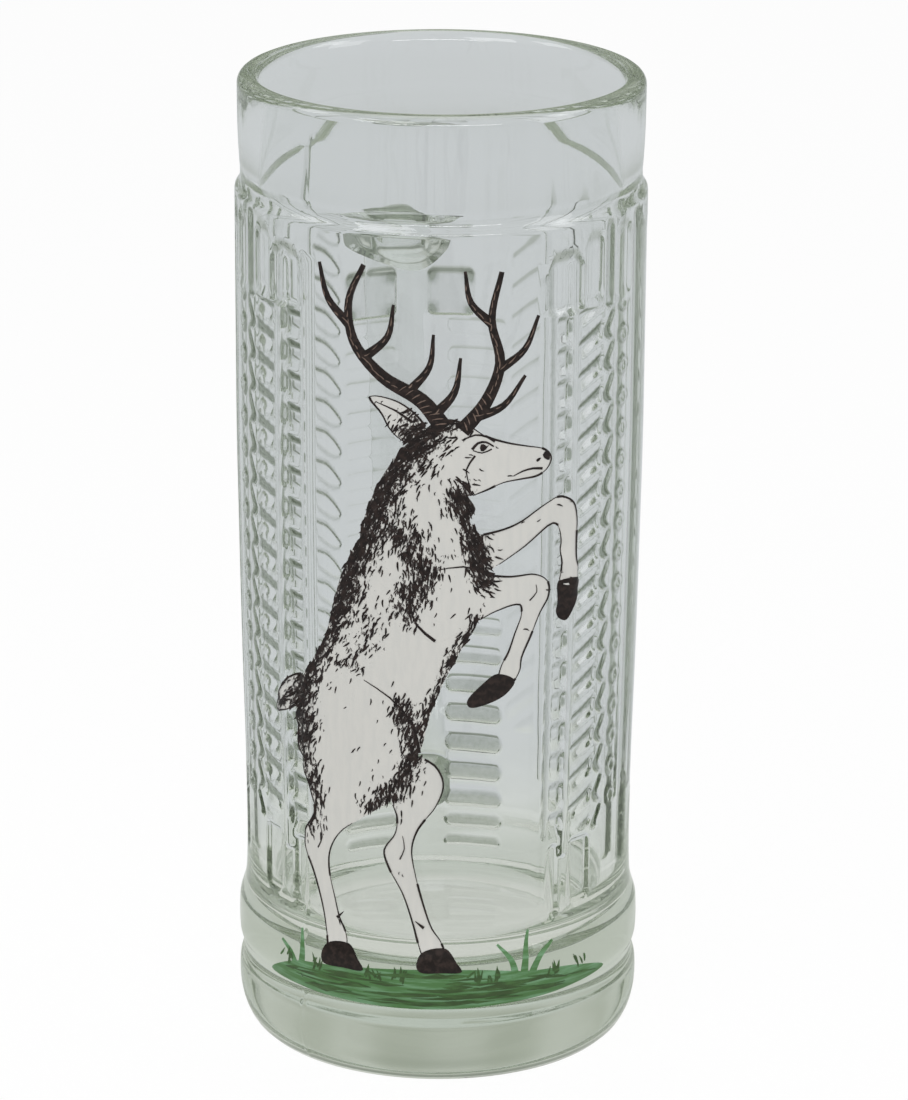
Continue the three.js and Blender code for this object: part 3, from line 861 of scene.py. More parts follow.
@dataclass
class GlassVessel:
    """The pressed glass body."""

    form: VesselForm
    pattern: PressedPattern
    pattern_reach: Span = (0.2, 171.0)

    def mesh(self) -> Mesh:
        """Spins the section, spaces its columns and presses the pattern in, keeping its painted shade on each
        vertex.

        Returns:
            The closed mesh.
        """
        stations = self.pattern.stations()
        made = bmesh.new()
        # Painted shade: each vertex keeps how strongly the glass colour is darkened there
        layer = made.verts.layers.float.new("painted_shade")
        corners = [made.verts.new((0.0, -radius, height)) for radius, height in self.form.section()]
        edges = [made.edges.new(pair) for pair in pairwise(corners)]
        bmesh.ops.spin(made, geom=[*corners, *edges], cent=(0, 0, 0), axis=(0, 0, 1), dvec=(0, 0, 0),
                       angle=tau, steps=len(stations), use_merge=True, use_duplicate=False)
        bmesh.ops.remove_doubles(made, verts=made.verts, dist=1e-4)
        bmesh.ops.recalc_face_normals(made, faces=made.faces)
        bore = self.form.outer(self.form.height) - self.form.wall / 2
        low, high = self.pattern_reach
        for vert in made.verts:
            radius = hypot(vert.co.x, vert.co.y)
            if radius < 1e-3:
                continue
            turn = degrees(atan2(vert.co.x, -vert.co.y)) % FULL_TURN
            azimuth = stations[round(turn / FULL_TURN * len(stations)) % len(stations)]
            if radius > bore and low < vert.co.z < high:
                lift, vert[layer] = self.pattern.press(azimuth, vert.co.z)
                radius += lift
            vert.co.x = radius * sin(radians(azimuth))
            vert.co.y = -radius * cos(radians(azimuth))
        bmesh.ops.triangulate(made, faces=made.faces, quad_method="SHORT_EDGE")
        return made

    def make(self) -> None:
        """Makes the piece."""
        hand_over("pressed_vessel", self.mesh(), GLASS, "glass_body")


@dataclass
class AppliedHandle:
    """The glass handle, drawn out of one bar and pressed onto the back of the body."""

    form: VesselForm
    radius: float = 38.7
    reach: float = 30.0
    width: float = 14.0
    thickness: float = 10.0
    top: float = 148.5
    foot: float = 32.0
    lean: float = 5.5
    upper_spread: float = 15.0
    lower_spread: float = -2.5
    deepening: float = 6.0
    lower_deepening: float = 8.0
    swell: float = 4.6
    shield: float = 0.8
    apex: float = 5.0
    flat: float = 0.45
    squareness: float = 0.55
    inner_round: float = 0.5
    outer_round: float = -0.15
    gap: float = 0.05
    corners: int = 40
    cap_shares: tuple[float, ...] = (0.93, 0.6, 0.3)
    start: Span = (0.3, 0.03)
    drop: float = 0.4
    course: tuple[Span, ...] = (
        (0.24, 0.04), (0.0, 0.2), (0.02, 0.45), (0.16, 0.7), (0.55, 0.91))
    line_steps: int = 12

    def line(self) -> list[Point]:
        """Draws the handle's middle line.

        Returns:
            Points as (out, height).
        """
        out, rise = self.radius + self.reach, self.top - self.foot
        inner = self.radius - self.thickness / 2
        points = [
            (inner, self.top - self.thickness * self.drop),
            (self.radius + self.reach * self.start[0], self.top + self.thickness * self.start[1]),
            *((out - self.reach * back, self.top - rise * fall) for back, fall in self.course),
            (inner, self.foot)]
        return [point for point in flowing(points, self.line_steps, False) if point[0] > self.radius + 0.4]

    def ring(self, made: Mesh, middle: Point, along: Point) -> list[Vert]:
        """Lays one ring of the bar, wider near the glass than at the grip.

        Args:
            made: The mesh that it goes into.
            middle: Its middle as (out, height).
            along: The bar's direction there.

        Returns:
            The ring's corners.
        """
        verts = bmesh.ops.create_circle(made, segments=self.corners, radius=1.0)["verts"]
        growth = max(0.0, 1.0 - (middle[0] - self.radius) / self.swell) ** 2
        upper = along[0] > 0.0
        spread = self.upper_spread if upper else self.lower_spread
        deepening = self.deepening if upper else self.lower_deepening
        for vert in verts:
            side, front = vert.co.x, vert.co.y
            rounding = self.inner_round if front * along[0] <= 0.0 else self.outer_round
            power = self.squareness + rounding * growth
            across = copysign(abs(side) ** power, side) * (self.width + spread * growth) / 2
            through = copysign(abs(front) ** power, front) * (self.thickness + deepening * growth) / 2
            if upper:
                across *= 1.0 + self.shield * growth * front
                through *= 1.0 - self.flat * growth * max(0.0, front)
                across += self.apex * growth * max(0.0, -front)
            height = middle[1] + along[0] * through
            across -= self.lean * (height - self.foot) / (self.top - self.foot)
            vert.co = Vector((across, middle[0] - along[1] * through, height))
        return verts

    def seat(self, verts: Iterable[Vert]) -> None:
        """Moves corners onto the body's surface, just clear of it."""
        for vert in verts:
            vert.co.y = sqrt(max(1.0, (self.form.outer(vert.co.z) + self.gap) ** 2 - vert.co.x**2))

    def mesh(self) -> Mesh:
        """Bridges the rings and closes both roots.

        Returns:
            The closed mesh.
        """
        made = bmesh.new()
        line = self.line()
        rings = [self.ring(made, middle, along) for middle, along in zip(line, headings(line))]
        for root, first in ((rings[0], True), (rings[-1], False)):
            self.seat(root)
            middle = sum((vert.co for vert in root), Vector()) / len(root)
            for share in self.cap_shares:
                inner = bmesh.ops.create_circle(made, segments=self.corners, radius=1.0, cap_tris=True,
                                                cap_ends=share == self.cap_shares[-1])["verts"]
                rim = [vert for vert in inner if vert.co.length > 0.5]
                for vert in inner:
                    vert.co = middle
                for vert, outer in zip(rim, root):
                    vert.co = middle + (outer.co - middle) * share
                self.seat(inner)
                rings.insert(0 if first else len(rings), rim)
        for pair in pairwise(rings):
            bmesh.ops.bridge_loops(made, edges=[edge for ring in pair for edge in self.loop(ring)])
        bmesh.ops.recalc_face_normals(made, faces=made.faces)
        return made

    @staticmethod
    def loop(ring: list[Vert]) -> list[bmesh.types.BMEdge]:
        """Finds the edges between a ring's own corners."""
        edges = {edge for vert in ring for edge in vert.link_edges}
        return [edge for edge in edges if set(edge.verts) <= set(ring)]

    def make(self) -> None:
        """Makes the piece."""
        hand_over("applied_handle", self.mesh(), GLASS, "handle")


@dataclass(frozen=True)
class Stroke:
    """A brush stroke along points, in steps, that narrows from its root to its tip."""

    points: tuple[Point, ...]
    root: float
    tip: float

    def outline(self, steps: int) -> list[Point]:
        """Draws the stroke's two sides.

        Args:
            steps: How many steps lie between two points.

        Returns:
            The closed outline.
        """
        line = flowing(self.points, steps, False)
        sides: tuple[list[Point], list[Point]] = ([], [])
        for index, ((x, y), (along, up)) in enumerate(zip(line, headings(line))):
            half = (self.root + (self.tip - self.root) * index / (len(line) - 1)) / 2
            sides[0].append((x - up * half, y + along * half))
            sides[1].append((x + up * half, y - along * half))
        return sides[0] + sides[1][::-1]


COAT = {
    "tail": ((-19, 61), (-22.6, 60.4), (-26, 57), (-28.4, 51.6), (-25.4, 52.2), (-22.6, 53.4), (-20, 55)),
    "hind_far_leg": (
        (2, 47), (9.6, 46), (12.2, 41.5), (10.8, 36.6), (7, 31.4), (5.6, 27), (6.2, 22), (8, 15), (10, 9.4),
        (11.8, 6.8), (12.4, 4.4), (8.4, 3.6), (7, 6.4), (6, 10), (3.6, 17), (0.6, 22.4), (-0.4, 26.2), (2, 30),
        (2.4, 34), (0, 40)),
    "fore_far_leg": (
        (11, 94), (20, 94.6), (27, 96.2), (33, 99.4), (37, 100.6), (40, 99), (41, 95.6), (41, 91), (41.2, 86.6),
        (42.2, 84), (41.4, 81.8), (38.2, 81.6), (37.6, 84), (37.8, 87), (37.4, 91.4), (36.6, 94.6), (35, 95.2),
        (29, 91.4), (22, 87.2), (14, 82)),
    "torso": (
        (13, 96), (19.5, 90), (21.2, 83), (19, 76), (15, 69), (11.6, 62), (9, 55), (7, 48), (0, 43), (-10, 42),
        (-17, 45), (-20.6, 51), (-20.4, 58), (-17, 65), (-13.4, 71.5), (-11.4, 79), (-8.6, 87), (-4.4, 94),
        (4, 98)),
    "neck": (
        (-5.2, 92), (-3.4, 100), (0.2, 107.6), (5.4, 114.4), (11, 118.2), (15, 117), (18, 112), (18.2, 107),
        (16.6, 103.6), (18.4, 100), (17.2, 97.6), (19.6, 94), (18.6, 91), (21, 87), (20.2, 82), (10, 78),
        (0, 83)),
    "hind_near_leg": (
        (-16.6, 65), (-20.4, 58.5), (-22, 51), (-20.8, 43), (-18, 36.5), (-17.2, 31.4), (-19.6, 27.4),
        (-20, 23.6), (-17.4, 18), (-15, 11), (-13.8, 6), (-12.6, 3.2), (-8.8, 3.9), (-9.2, 7), (-10.6, 9.4),
        (-12, 14), (-13.4, 19.5), (-13.2, 24), (-10.6, 28.6), (-5.4, 32.6), (0.6, 36.8), (5.2, 42), (7, 48),
        (5, 54.5), (-0.6, 60), (-8, 65)),
    "fore_near_leg": (
        (7, 86), (14, 88), (20, 86.2), (26, 85.2), (31.4, 85), (34.4, 83), (34.6, 80), (32.6, 76.6), (30.6, 72),
        (28.6, 67.6), (28.2, 64.8), (26.6, 62.6), (23.8, 63.8), (24.2, 66.4), (25.6, 69), (27, 73), (28.4, 77),
        (28, 79), (23, 78.2), (17, 75.2), (10, 72), (5, 78)),
    "head": (
        (9.5, 117.6), (13.5, 118.7), (17, 117.4), (20.2, 115.2), (25, 113.4), (29.6, 112.2), (33, 111.2),
        (34.6, 109.3), (33.8, 107.2), (31.6, 105.9), (28, 105.6), (24, 105.2), (20, 103.7), (16.6, 102.8),
        (13, 104.5), (10, 110)),
    "ear": ((8.4, 116.6), (5.6, 120.4), (1.6, 122.6), (-3.2, 122.8), (-0.6, 119.6), (1.2, 116.4),
        (4.8, 113.8)),
}
HOOVES = {
    "hind_near_hoof": ((-13.4, 3.8), (-14.4, 0.8), (-13.8, -0.4), (-9, -0.5), (-4.6, -0.3), (-5.6, 1.6),
        (-8.2, 4.6)),
    "hind_far_hoof": ((7.8, 4.3), (6.8, 1.6), (7.6, 0.4), (12, 0.3), (16.2, 0.5), (15.2, 2.3), (12.9, 5.2)),
    "fore_near_hoof": ((27.2, 62.8), (23.4, 64.6), (20.2, 62.6), (17, 59), (17.6, 57.8), (21.6, 58.4),
        (25.4, 60.2)),
    "fore_far_hoof": ((37.6, 82.4), (42.2, 82.4), (42, 79.4), (40.6, 76.2), (38.6, 74), (37.4, 74.8),
        (37, 78.2)),
}
ANTLERS = {
    "near_antler": (
        Stroke(((12, 117), (7.5, 122.6), (-0.5, 127.2), (-6.6, 134), (-7.6, 142), (-4.4, 149.6)), 3.6, 1.0),
        Stroke(((10, 119.6), (14, 124.4), (15.2, 131.4)), 2.3, 0.6),
        Stroke(((5, 124.4), (9, 129.6), (9.8, 136.2)), 2.0, 0.6),
        Stroke(((-4.4, 130.6), (0.6, 135.4), (1.8, 142)), 2.1, 0.6),
        Stroke(((-7.4, 137), (-12.4, 142), (-14.4, 149)), 2.1, 0.6)),
    "far_antler": (
        Stroke(((15.6, 116.4), (20.4, 122.2), (23.2, 130), (21.4, 139), (23.4, 148.6)), 3.2, 1.0),
        Stroke(((18, 119), (24, 121.2), (28.6, 127)), 2.1, 0.6),
        Stroke(((23, 128.6), (28.4, 132.4), (31.4, 139)), 2.0, 0.6),
        Stroke(((21.6, 138), (17.2, 142.6), (16, 149)), 2.0, 0.6)),
}
HILL = ((-30, -6.5), (-22, -2.2), (-12, -0.6), (-2, 0.4), (9, 0.9), (20, 0.6), (31, -1), (42, -2.2), (52, -5.2),
        (40, -7), (24, -7.8), (8, -8.2), (-8, -8), (-20, -7.6))
BLADES = (
    Stroke(((28, -2.5), (26.8, 2), (24, 5.4)), 1.8, 0.5),
    Stroke(((29.6, -2.5), (30.2, 3), (31.2, 7.6)), 1.9, 0.5),
    Stroke(((31, -2.5), (33.6, 2), (37, 4.4)), 1.8, 0.5),
    Stroke(((-21, -4), (-23, -0.4), (-25.8, 1.6)), 1.8, 0.5),
    Stroke(((-20, -4), (-19.6, 1.4), (-20.6, 5.2)), 1.9, 0.5),
)
# Where the coat is dark: a line that the dabs gather along, their reach and their strength
DARK_PLACES = (
    (((8, 116), (0.2, 108.5), (-4.6, 96), (-8.6, 87), (-11.4, 79)), 6.5, 1.0),
    (((-11.4, 79), (-13.8, 71.5), (-18, 64), (-21, 56), (-20, 48)), 4.5, 0.95),
    (((15.4, 103), (17.6, 98), (18.6, 91), (20.4, 85)), 3.6, 1.0),
    (((-2, 98), (5, 93), (8, 86), (4, 79)), 4.6, 0.8),
    (((19.6, 76), (15, 69), (11.6, 62), (8.6, 54)), 2.6, 0.8),
    (((-19, 43), (-16.6, 36), (-17.6, 29)), 2.8, 0.75),
    (((3.6, 57), (6.4, 50), (3.6, 41), (-3, 35)), 3.2, 0.85),
    (((9, 118.4), (14.5, 118.4)), 2.4, 1.0),
    (((-27, 53), (-21.5, 58)), 2.0, 0.7),
    (((-8, 82), (-3, 74), (-8, 66)), 4.0, 0.55),
)
# Which way the hair lies: a place and the direction there, in degrees from across
HAIR = (
    ((2, 110), 232), ((-4, 92), 245), ((-10, 75), 238), ((-18, 58), 245), ((-18, 35), 265), ((16, 96), 285),
    ((8, 88), 262), ((16, 70), 240), ((6, 50), 250), ((28, 84), 345), ((32, 92), 20), ((22, 110), 350),
    ((-24, 57), 225), ((-14, 15), 285), ((6, 18), 285), ((12, 118), 200),
)
INNER_LINES = (
    Stroke(((7.2, 48), (5.8, 54), (1, 59.6), (-4.6, 62.8)), 0.7, 0.15),
    Stroke(((10.4, 72.2), (6.6, 75.6), (5.4, 80), (7.6, 84.6)), 0.65, 0.15),
    Stroke(((22.5, 86), (16, 88), (10, 87.2)), 0.55, 0.12),
    Stroke(((18.2, 111.2), (16.4, 108.2), (17.4, 104.6)), 0.45, 0.15),
    Stroke(((32.6, 107.2), (30.4, 107.5), (28.2, 107.2), (26.2, 106.4)), 0.55, 0.2),
    Stroke(((5.6, 118.2), (2.2, 120.4), (-1.6, 121.8)), 0.6, 0.15),
    Stroke(((15.6, 114.5), (18.2, 115.5), (20.6, 115), (22.2, 113.9)), 0.3, 0.5),
    Stroke(((17.6, 112.5), (18.8, 113.8), (20.4, 113.9), (22, 112.9)), 0.6, 0.3),
    Stroke(((17.8, 112.3), (19.6, 111.7), (21.6, 112.4)), 0.2, 0.3),
    Stroke(((-11.4, 9.6), (-9.8, 11.2)), 0.7, 0.15), Stroke(((8.2, 9.6), (6.4, 11)), 0.7, 0.15),
    Stroke(((-16.4, 24), (-15.2, 26.6), (-15.8, 29.4)), 0.3, 0.12),
    Stroke(((3, 24.4), (4, 26.8), (3.6, 29.6)), 0.3, 0.12),
    Stroke(((30.2, 79.6), (31.8, 81.2), (31.6, 82.8)), 0.3, 0.12),
)
# The eye, the nose and the nostril: a place, a direction, a length and a width
SPOTS = (((19.9, 112.8), 0.0, 1.5, 1.5), ((33.6, 109.7), 300.0, 2.2, 1.5), ((31.7, 109.2), 30.0, 1.2, 0.6))
# Where tufts of grass stand along the hill
TUFTS = (-24, -16, -2.5, 3.5, 19, 22.5, 37, 44)


def darkness(at: Point) -> float:
    """Gives how dark the coat is at a place in steps, from 0 to 1."""
    return max(strength * exp(-(distance(at, line) / reach) ** 2) for line, reach, strength in DARK_PLACES)


def hair(at: Point) -> float:
    """Gives which way the hair lies at a place.

    Args:
        at: The place in steps.

    Returns:
        A direction in degrees.
    """
    total = Vector((0.0, 0.0))
    for place, heading in HAIR:
        weight = 1.0 / (1.0 + (Vector(at) - Vector(place)).length_squared) ** 1.5
        total += Vector((cos(radians(heading)), sin(radians(heading)))) * weight
    return degrees(atan2(total.y, total.x))


@dataclass(frozen=True)
class Dab:
    """One short dab of the brush, whose middle is in steps and whose bend is how far it curves."""

    at: Point
    heading: float
    length: float
    width: float
    bend: float = 0.0


@dataclass
class Sheet:
    """The flat sheet that the picture is drawn on, and its place round the glass."""

    form: VesselForm
    pattern: PressedPattern
    size: float = 0.92
    shift: float = -7.0
    stand: float = 23.1
    roll: float = 39.0
    cell: float = 1.5
    cell_start: float = 0.37
    clear: float = 0.04
    plain_half: float = 22.0
    plain_height: float = 42.0
    feel: float = 0.7
    sharp: float = 0.7
    dab_corners: int = 8
    dab_taper: float = 0.45

    @staticmethod
    def blank() -> Mesh:
        """Starts a mesh that holds how dark its coat is.

        Returns:
            The empty mesh.
        """
        made = bmesh.new()
        made.verts.layers.float.new("fur")
        return made

    def patch(self, outline: Sequence[Point], lift: float, coat: float,
              dark: Callable[[Point], float] | None = None) -> Mesh:
        """Cuts one flat patch of enamel, with its thickness.

        Args:
            outline: The closed outline in steps.
            lift: How far its underside lies over the glass.
            coat: Its thickness.
            dark: Gives how dark the coat is at a place.

        Returns:
            The flat patch: across, up and out, in millimetres.
        """
        made = self.blank()
        corners = [made.verts.new((x * self.size, y * self.size, lift)) for x, y in outline]
        made.faces.new(corners)
        for axis, normal in enumerate((Vector((1.0, 0.0, 0.0)), Vector((0.0, 1.0, 0.0)))):
            places = [corner.co[axis] / self.cell for corner in corners]
            for step in range(ceil(min(places)), ceil(max(places))):
                bmesh.ops.bisect_plane(made, geom=[*made.verts, *made.edges, *made.faces], dist=1e-5,
                                       plane_co=normal * (step + self.cell_start) * self.cell, plane_no=normal)
        self.thicken(made, coat)
        if dark is not None:
            level = made.verts.layers.float["fur"]
            for vert in made.verts:
                vert[level] = dark((vert.co.x / self.size, vert.co.y / self.size))
        return made

    @staticmethod
    def thicken(made: Mesh, coat: float) -> None:
        """Gives flat faces a thickness.

        Args:
            made: The flat faces.
            coat: The thickness.
        """
        bmesh.ops.recalc_face_normals(made, faces=made.faces)
        raised = bmesh.ops.extrude_face_region(made, geom=made.faces[:])["geom"]
        verts = [item for item in raised if isinstance(item, Vert)]
        bmesh.ops.translate(made, vec=(0.0, 0.0, coat), verts=verts)
        bmesh.ops.recalc_face_normals(made, faces=made.faces)

    def dabs(self, dabs: Iterable[Dab], lift: float, coat: float) -> Mesh:
        """Lays short dabs of the brush.

        Args:
            dabs: The dabs.
            lift: How far they lie over the glass.
            coat: Their thickness.

        Returns:
            The flat dabs, in millimetres.
        """
        made = self.blank()
        for dab in dabs:
            circle = bmesh.ops.create_circle(made, segments=self.dab_corners, radius=1.0, cap_ends=True)
            turn = radians(dab.heading)
            for vert in circle["verts"]:
                end, side = vert.co.x, vert.co.y
                along = end * dab.length / 2
                across = side * dab.width / 2 * (1.0 - self.dab_taper * end) + dab.bend * end**2
                vert.co = Vector((dab.at[0] * self.size + along * cos(turn) - across * sin(turn),
                                  dab.at[1] * self.size + along * sin(turn) + across * cos(turn), lift))
        self.thicken(made, coat)
        return made

    def surface(self, across: float, height: float) -> float:
        """Gives the radius that the enamel lies on, over the pattern's high places.

        Args:
            across: Millimetres round the glass from the picture's middle.
            height: The height above the table.

        Returns:
            The radius.
        """
        relief = 0.0
        if abs(across) > self.plain_half and height > self.plain_height:
            places = ((0, 0), (1, 0), (-1, 0), (0, 1), (0, -1))
            relief = max(self.pattern.press(FRONT + degrees((across + x * self.feel) / self.roll),
                                            height + z * self.feel)[0] for x, z in places)
        return self.form.outer(height) + relief + self.clear

    def wrap(self, patches: Iterable[Mesh]) -> Mesh:
        """Joins flat patches and lays them round the glass, keeping their flat place as the sheet's own map.

        Args:
            patches: The flat patches, which are used up.

        Returns:
            The mesh on the glass, in millimetres.
        """
        made = self.blank()
        for part in patches:
            flat = bpy.data.meshes.new("flat")
            part.to_mesh(flat)
            part.free()
            made.from_mesh(flat)
            bpy.data.meshes.remove(flat)
        bmesh.ops.triangulate(made, faces=[face for face in made.faces if len(face.verts) > 4])
        sheet = made.loops.layers.uv.new("sheet")
        for loop in (loop for face in made.faces for loop in face.loops):
            loop[sheet].uv = loop.vert.co.xy
        for edge in made.edges:
            edge.smooth = edge.calc_face_angle(0.0) < self.sharp
        for vert in made.verts:
            across = vert.co.x + self.shift * self.size
            height = self.stand + vert.co.y
            radius = self.surface(across, height) + vert.co.z
            angle = radians(FRONT) + across / self.roll
            vert.co = Vector((radius * sin(angle), -radius * cos(angle), height))
        return made


@dataclass
class EnamelStag:
    """A rearing stag in the old heraldic manner, on a grassy hill."""

    sheet: Sheet
    coat: float = 0.1
    layer: float = 0.012
    hoof: float = 0.02
    antler: float = 0.03
    antler_layer: float = 0.01
    antler_rank: float = 0.05
    line: float = 0.03
    line_lift: float = 0.01
    dab: float = 0.02
    light: float = 0.015
    light_lift: float = 0.11
    cross_light: float = 62.0
    blade: float = 0.01
    grass_stroke: float = 0.012
    grass_layer: float = 0.0004
    tuft_lift: float = 0.03
    grass_strokes: int = 96
    grass_across: Span = (-29.0, 51.0)
    grass_up: Span = (-8.2, 0.4)
    grass_half: Span = (2.2, 8.5)
    grass_bow: Span = (-0.3, 0.5)
    grass_width: Span = (0.4, 1.25)
    hilltop: float = 9.0
    tuft: int = 7
    tuft_reach: float = 1.6
    tuft_sway: float = 24.0
    fur_dabs: int = 2100
    fur_across: Span = (-30.0, 43.0)
    fur_up: Span = (4.0, 124.0)
    fur_sway: float = 13.0
    fur_bend: float = 0.25
    fur_least: float = 0.012
    contour_points: int = 14
    contour_widths: Span = (0.5, 0.16)
    contour_darkness: float = 0.6
    seed: int = 7

    @cached_property
    def outlines(self) -> dict[str, list[Point]]:
        """The smooth outlines of the coat's patches."""
        return {name: flowing(corners, 5, True) for name, corners in COAT.items()}

    @property
    def top(self) -> float:
        """The height of the coat's upper side."""
        return self.coat + self.layer * len(COAT)

    def coat_mesh(self) -> Mesh:
        """Lays the coat's patches over each other."""
        return self.sheet.wrap(self.sheet.patch(outline, 0.0, self.coat + self.layer * rank, darkness)
                               for rank, outline in enumerate(self.outlines.values()))

    def fur(self) -> Iterator[Dab]:
        """Scatters short dabs along the hair, close together where the coat is dark.

        Yields:
            The dabs.
        """
        rng = random.Random(self.seed)
        laid = 0
        while laid < self.fur_dabs:
            at = (rng.uniform(*self.fur_across), rng.uniform(*self.fur_up))
            pick, size, sway = rng.random(), rng.random(), rng.gauss(0.0, self.fur_sway)
            bend = rng.uniform(-self.fur_bend, self.fur_bend)
            if not any(inside(outline, at) for outline in self.outlines.values()):
                continue
            dark = darkness(at)
            if pick > dark**1.6 + self.fur_least:
                continue
            length = (0.8 + 1.7 * size) * (0.65 + 0.5 * dark)
            yield Dab(at, hair(at) + sway, length, 0.17 + 0.23 * size * (0.6 + dark), bend)
            laid += 1

    def contour(self) -> list[Stroke]:
        """Finds the coat's free edges and inks them with a line that swells and thins.

        Returns:
            The lines.
        """
        lines: list[Stroke] = []
        for name, outline in self.outlines.items():
            others = [other for key, other in self.outlines.items() if key != name]
            free = [not any(inside(other, at) for other in others) for at in outline]
            start = 0 if all(free) else free.index(False)
            order = [(start + step) % len(outline) for step in range(len(outline) + 1)]
            runs = [list(run) for is_free, run in groupby(order, free.__getitem__) if is_free]
            for run in (run for run in runs if len(run) > 3):
                for first in range(0, len(run) - 1, self.contour_points):
                    places = run[first:first + self.contour_points + 1:2]
                    points = tuple(outline[index] for index in places)
                    if len(points) > 1 and darkness(points[len(points) // 2]) < self.contour_darkness:
                        lines.append(Stroke(points, *self.contour_widths))
        return lines

    def line_mesh(self) -> Mesh:
        """Lays the contour, the inner lines and the eye.

        Returns:
            The lines on the glass.
        """
        height = self.top + self.line_lift
        strokes = (*self.contour(), *INNER_LINES)
        parts = [self.sheet.patch(stroke.outline(2), height, self.line) for stroke in strokes]
        spots = [Dab(at, heading, length * self.sheet.size, width * self.sheet.size)
                 for at, heading, length, width in SPOTS]
        return self.sheet.wrap([*parts, self.sheet.dabs(spots, height, self.line)])

    def antler_mesh(self, strokes: Sequence[Stroke], rank: int) -> Mesh:
        """Lays an antler, its beam over its tines.

        Args:
            strokes: Its strokes, with the beam first.
            rank: 0 for the upper antler and 1 for the one under it.

        Returns:
            The antler on the glass.
        """
        base = self.top + self.antler - self.antler_rank * rank
        return self.sheet.wrap(
            self.sheet.patch(stroke.outline(5), 0.0, base + self.antler_layer * (len(strokes) - order))
            for order, stroke in enumerate(strokes))

    def lights(self) -> Iterator[Dab]:
        """Scatters pale dabs along the antlers and across their roots.

        Yields:
            The dabs.
        """
        rng = random.Random(self.seed + 1)
        for stroke, beam in ((stroke, stroke is strokes[0]) for strokes in ANTLERS.values()
                             for stroke in strokes):
            line = flowing(stroke.points, 6, False)
            for index in range(1, len(line) - 2, 1 if beam else 2):
                (x0, y0), (x1, y1) = line[index], line[index + 1]
                heading = degrees(atan2(y1 - y0, x1 - x0))
                share = index / len(line)
                half = (stroke.root + (stroke.tip - stroke.root) * share) / 2
                side = radians(heading + 90.0)
                offset = half * rng.uniform(-0.15, 0.5)
                at = (x0 + cos(side) * offset, y0 + sin(side) * offset)
                crossing = beam and share < 0.3
                across = self.cross_light if crossing else rng.uniform(-12.0, 12.0)
                length = half * 1.3 if crossing else rng.uniform(0.9, 2.2)
                yield Dab(at, heading + across, length, rng.uniform(0.14, 0.26), 0.1)

    def hill_mesh(self) -> Mesh:
        """Lays the hill and its tall blades of grass."""
        blades = [self.sheet.patch(blade.outline(4), 0.0, self.coat + self.blade) for blade in BLADES]
        return self.sheet.wrap([self.sheet.patch(flowing(HILL, 6, True), 0.0, self.coat), *blades])

    def grass_mesh(self) -> Mesh:
        """Lays dark strokes over the hill and tufts along its top.

        Returns:
            The strokes on the glass.
        """
        rng = random.Random(self.seed + 2)
        outline = flowing(HILL, 6, True)
        parts: list[Mesh] = []
        while len(parts) < self.grass_strokes:
            x, y, half, bow, width = (rng.uniform(*span) for span in (
                self.grass_across, self.grass_up, self.grass_half, self.grass_bow, self.grass_width))
            slope = -0.0022 * (x - self.hilltop) * abs(x - self.hilltop) / 4.0
            ends, middle = ((x - half, y - slope), (x + half, y + slope)), (x, y + bow)
            if all(inside(outline, (px, py + side)) for px, py in (*ends, middle) for side in (-0.5, 0.5)):
                lift = self.coat + self.dab + self.grass_layer * len(parts)
                halves = [Stroke((middle, end), width, 0.1).outline(4) for end in ends]
                parts += [self.sheet.patch(half_stroke, lift, self.grass_stroke) for half_stroke in halves]
        tufts = [Dab((place + rng.uniform(-self.tuft_reach, self.tuft_reach),
                      -0.4 - abs(place - 6) * 0.035 + rng.uniform(-0.6, 1.0)),
                     90.0 + rng.gauss(0.0, self.tuft_sway), rng.uniform(1.6, 3.0), 0.45, 0.1)
                 for place in TUFTS for _ in range(self.tuft)]
        return self.sheet.wrap([*parts, self.sheet.dabs(tufts, self.coat + self.tuft_lift, self.dab)])

    def make(self) -> None:
        """Makes every piece of the picture."""
        hand_over("stag_coat", self.coat_mesh(), IVORY, "enamel_stag_coat")
        fur = self.sheet.dabs(self.fur(), self.top, self.dab)
        hand_over("stag_fur", self.sheet.wrap([fur]), UMBER)
        hand_over("stag_lines", self.line_mesh(), UMBER)
        for name, corners in HOOVES.items():
            hoof = self.sheet.patch(flowing(corners, 5, True), 0.0, self.top + self.hoof)
            hand_over(f"{name}_paint", self.sheet.wrap([hoof]), UMBER, f"enamel_{name}")
        for rank, (name, strokes) in enumerate(ANTLERS.items()):
            hand_over(f"{name}_paint", self.antler_mesh(strokes, rank), UMBER, f"enamel_{name}")
        lights = self.sheet.dabs(self.lights(), self.top + self.light_lift, self.light)
        hand_over("antler_lights", self.sheet.wrap([lights]), BROWN)
        hand_over("grass_hill_paint", self.hill_mesh(), GREEN, "enamel_grass_hill")
        hand_over("grass_strokes", self.grass_mesh(), DARK_GREEN)


@dataclass(frozen=True)
class Lamp:
    """One soft lamp, with its place and size in metres and its power in watts."""

    name: str
    place: Place
    size: Span
    power: float

    def hang(self, aim: Vector) -> None:
        """Hangs the lamp.

        Args:
            aim: The point that it shines at, in metres.
        """
        data = bpy.data.lights.new(self.name, "AREA")
        data.shape = "RECTANGLE"
        data.size, data.size_y = self.size
        data.energy = self.power
        made = put(self.name, data)
        made.location = self.place
        made.visible_transmission = False
        made.rotation_mode = "QUATERNION"
        made.rotation_quaternion = (aim - Vector(self.place)).to_track_quat("-Z", "Y")


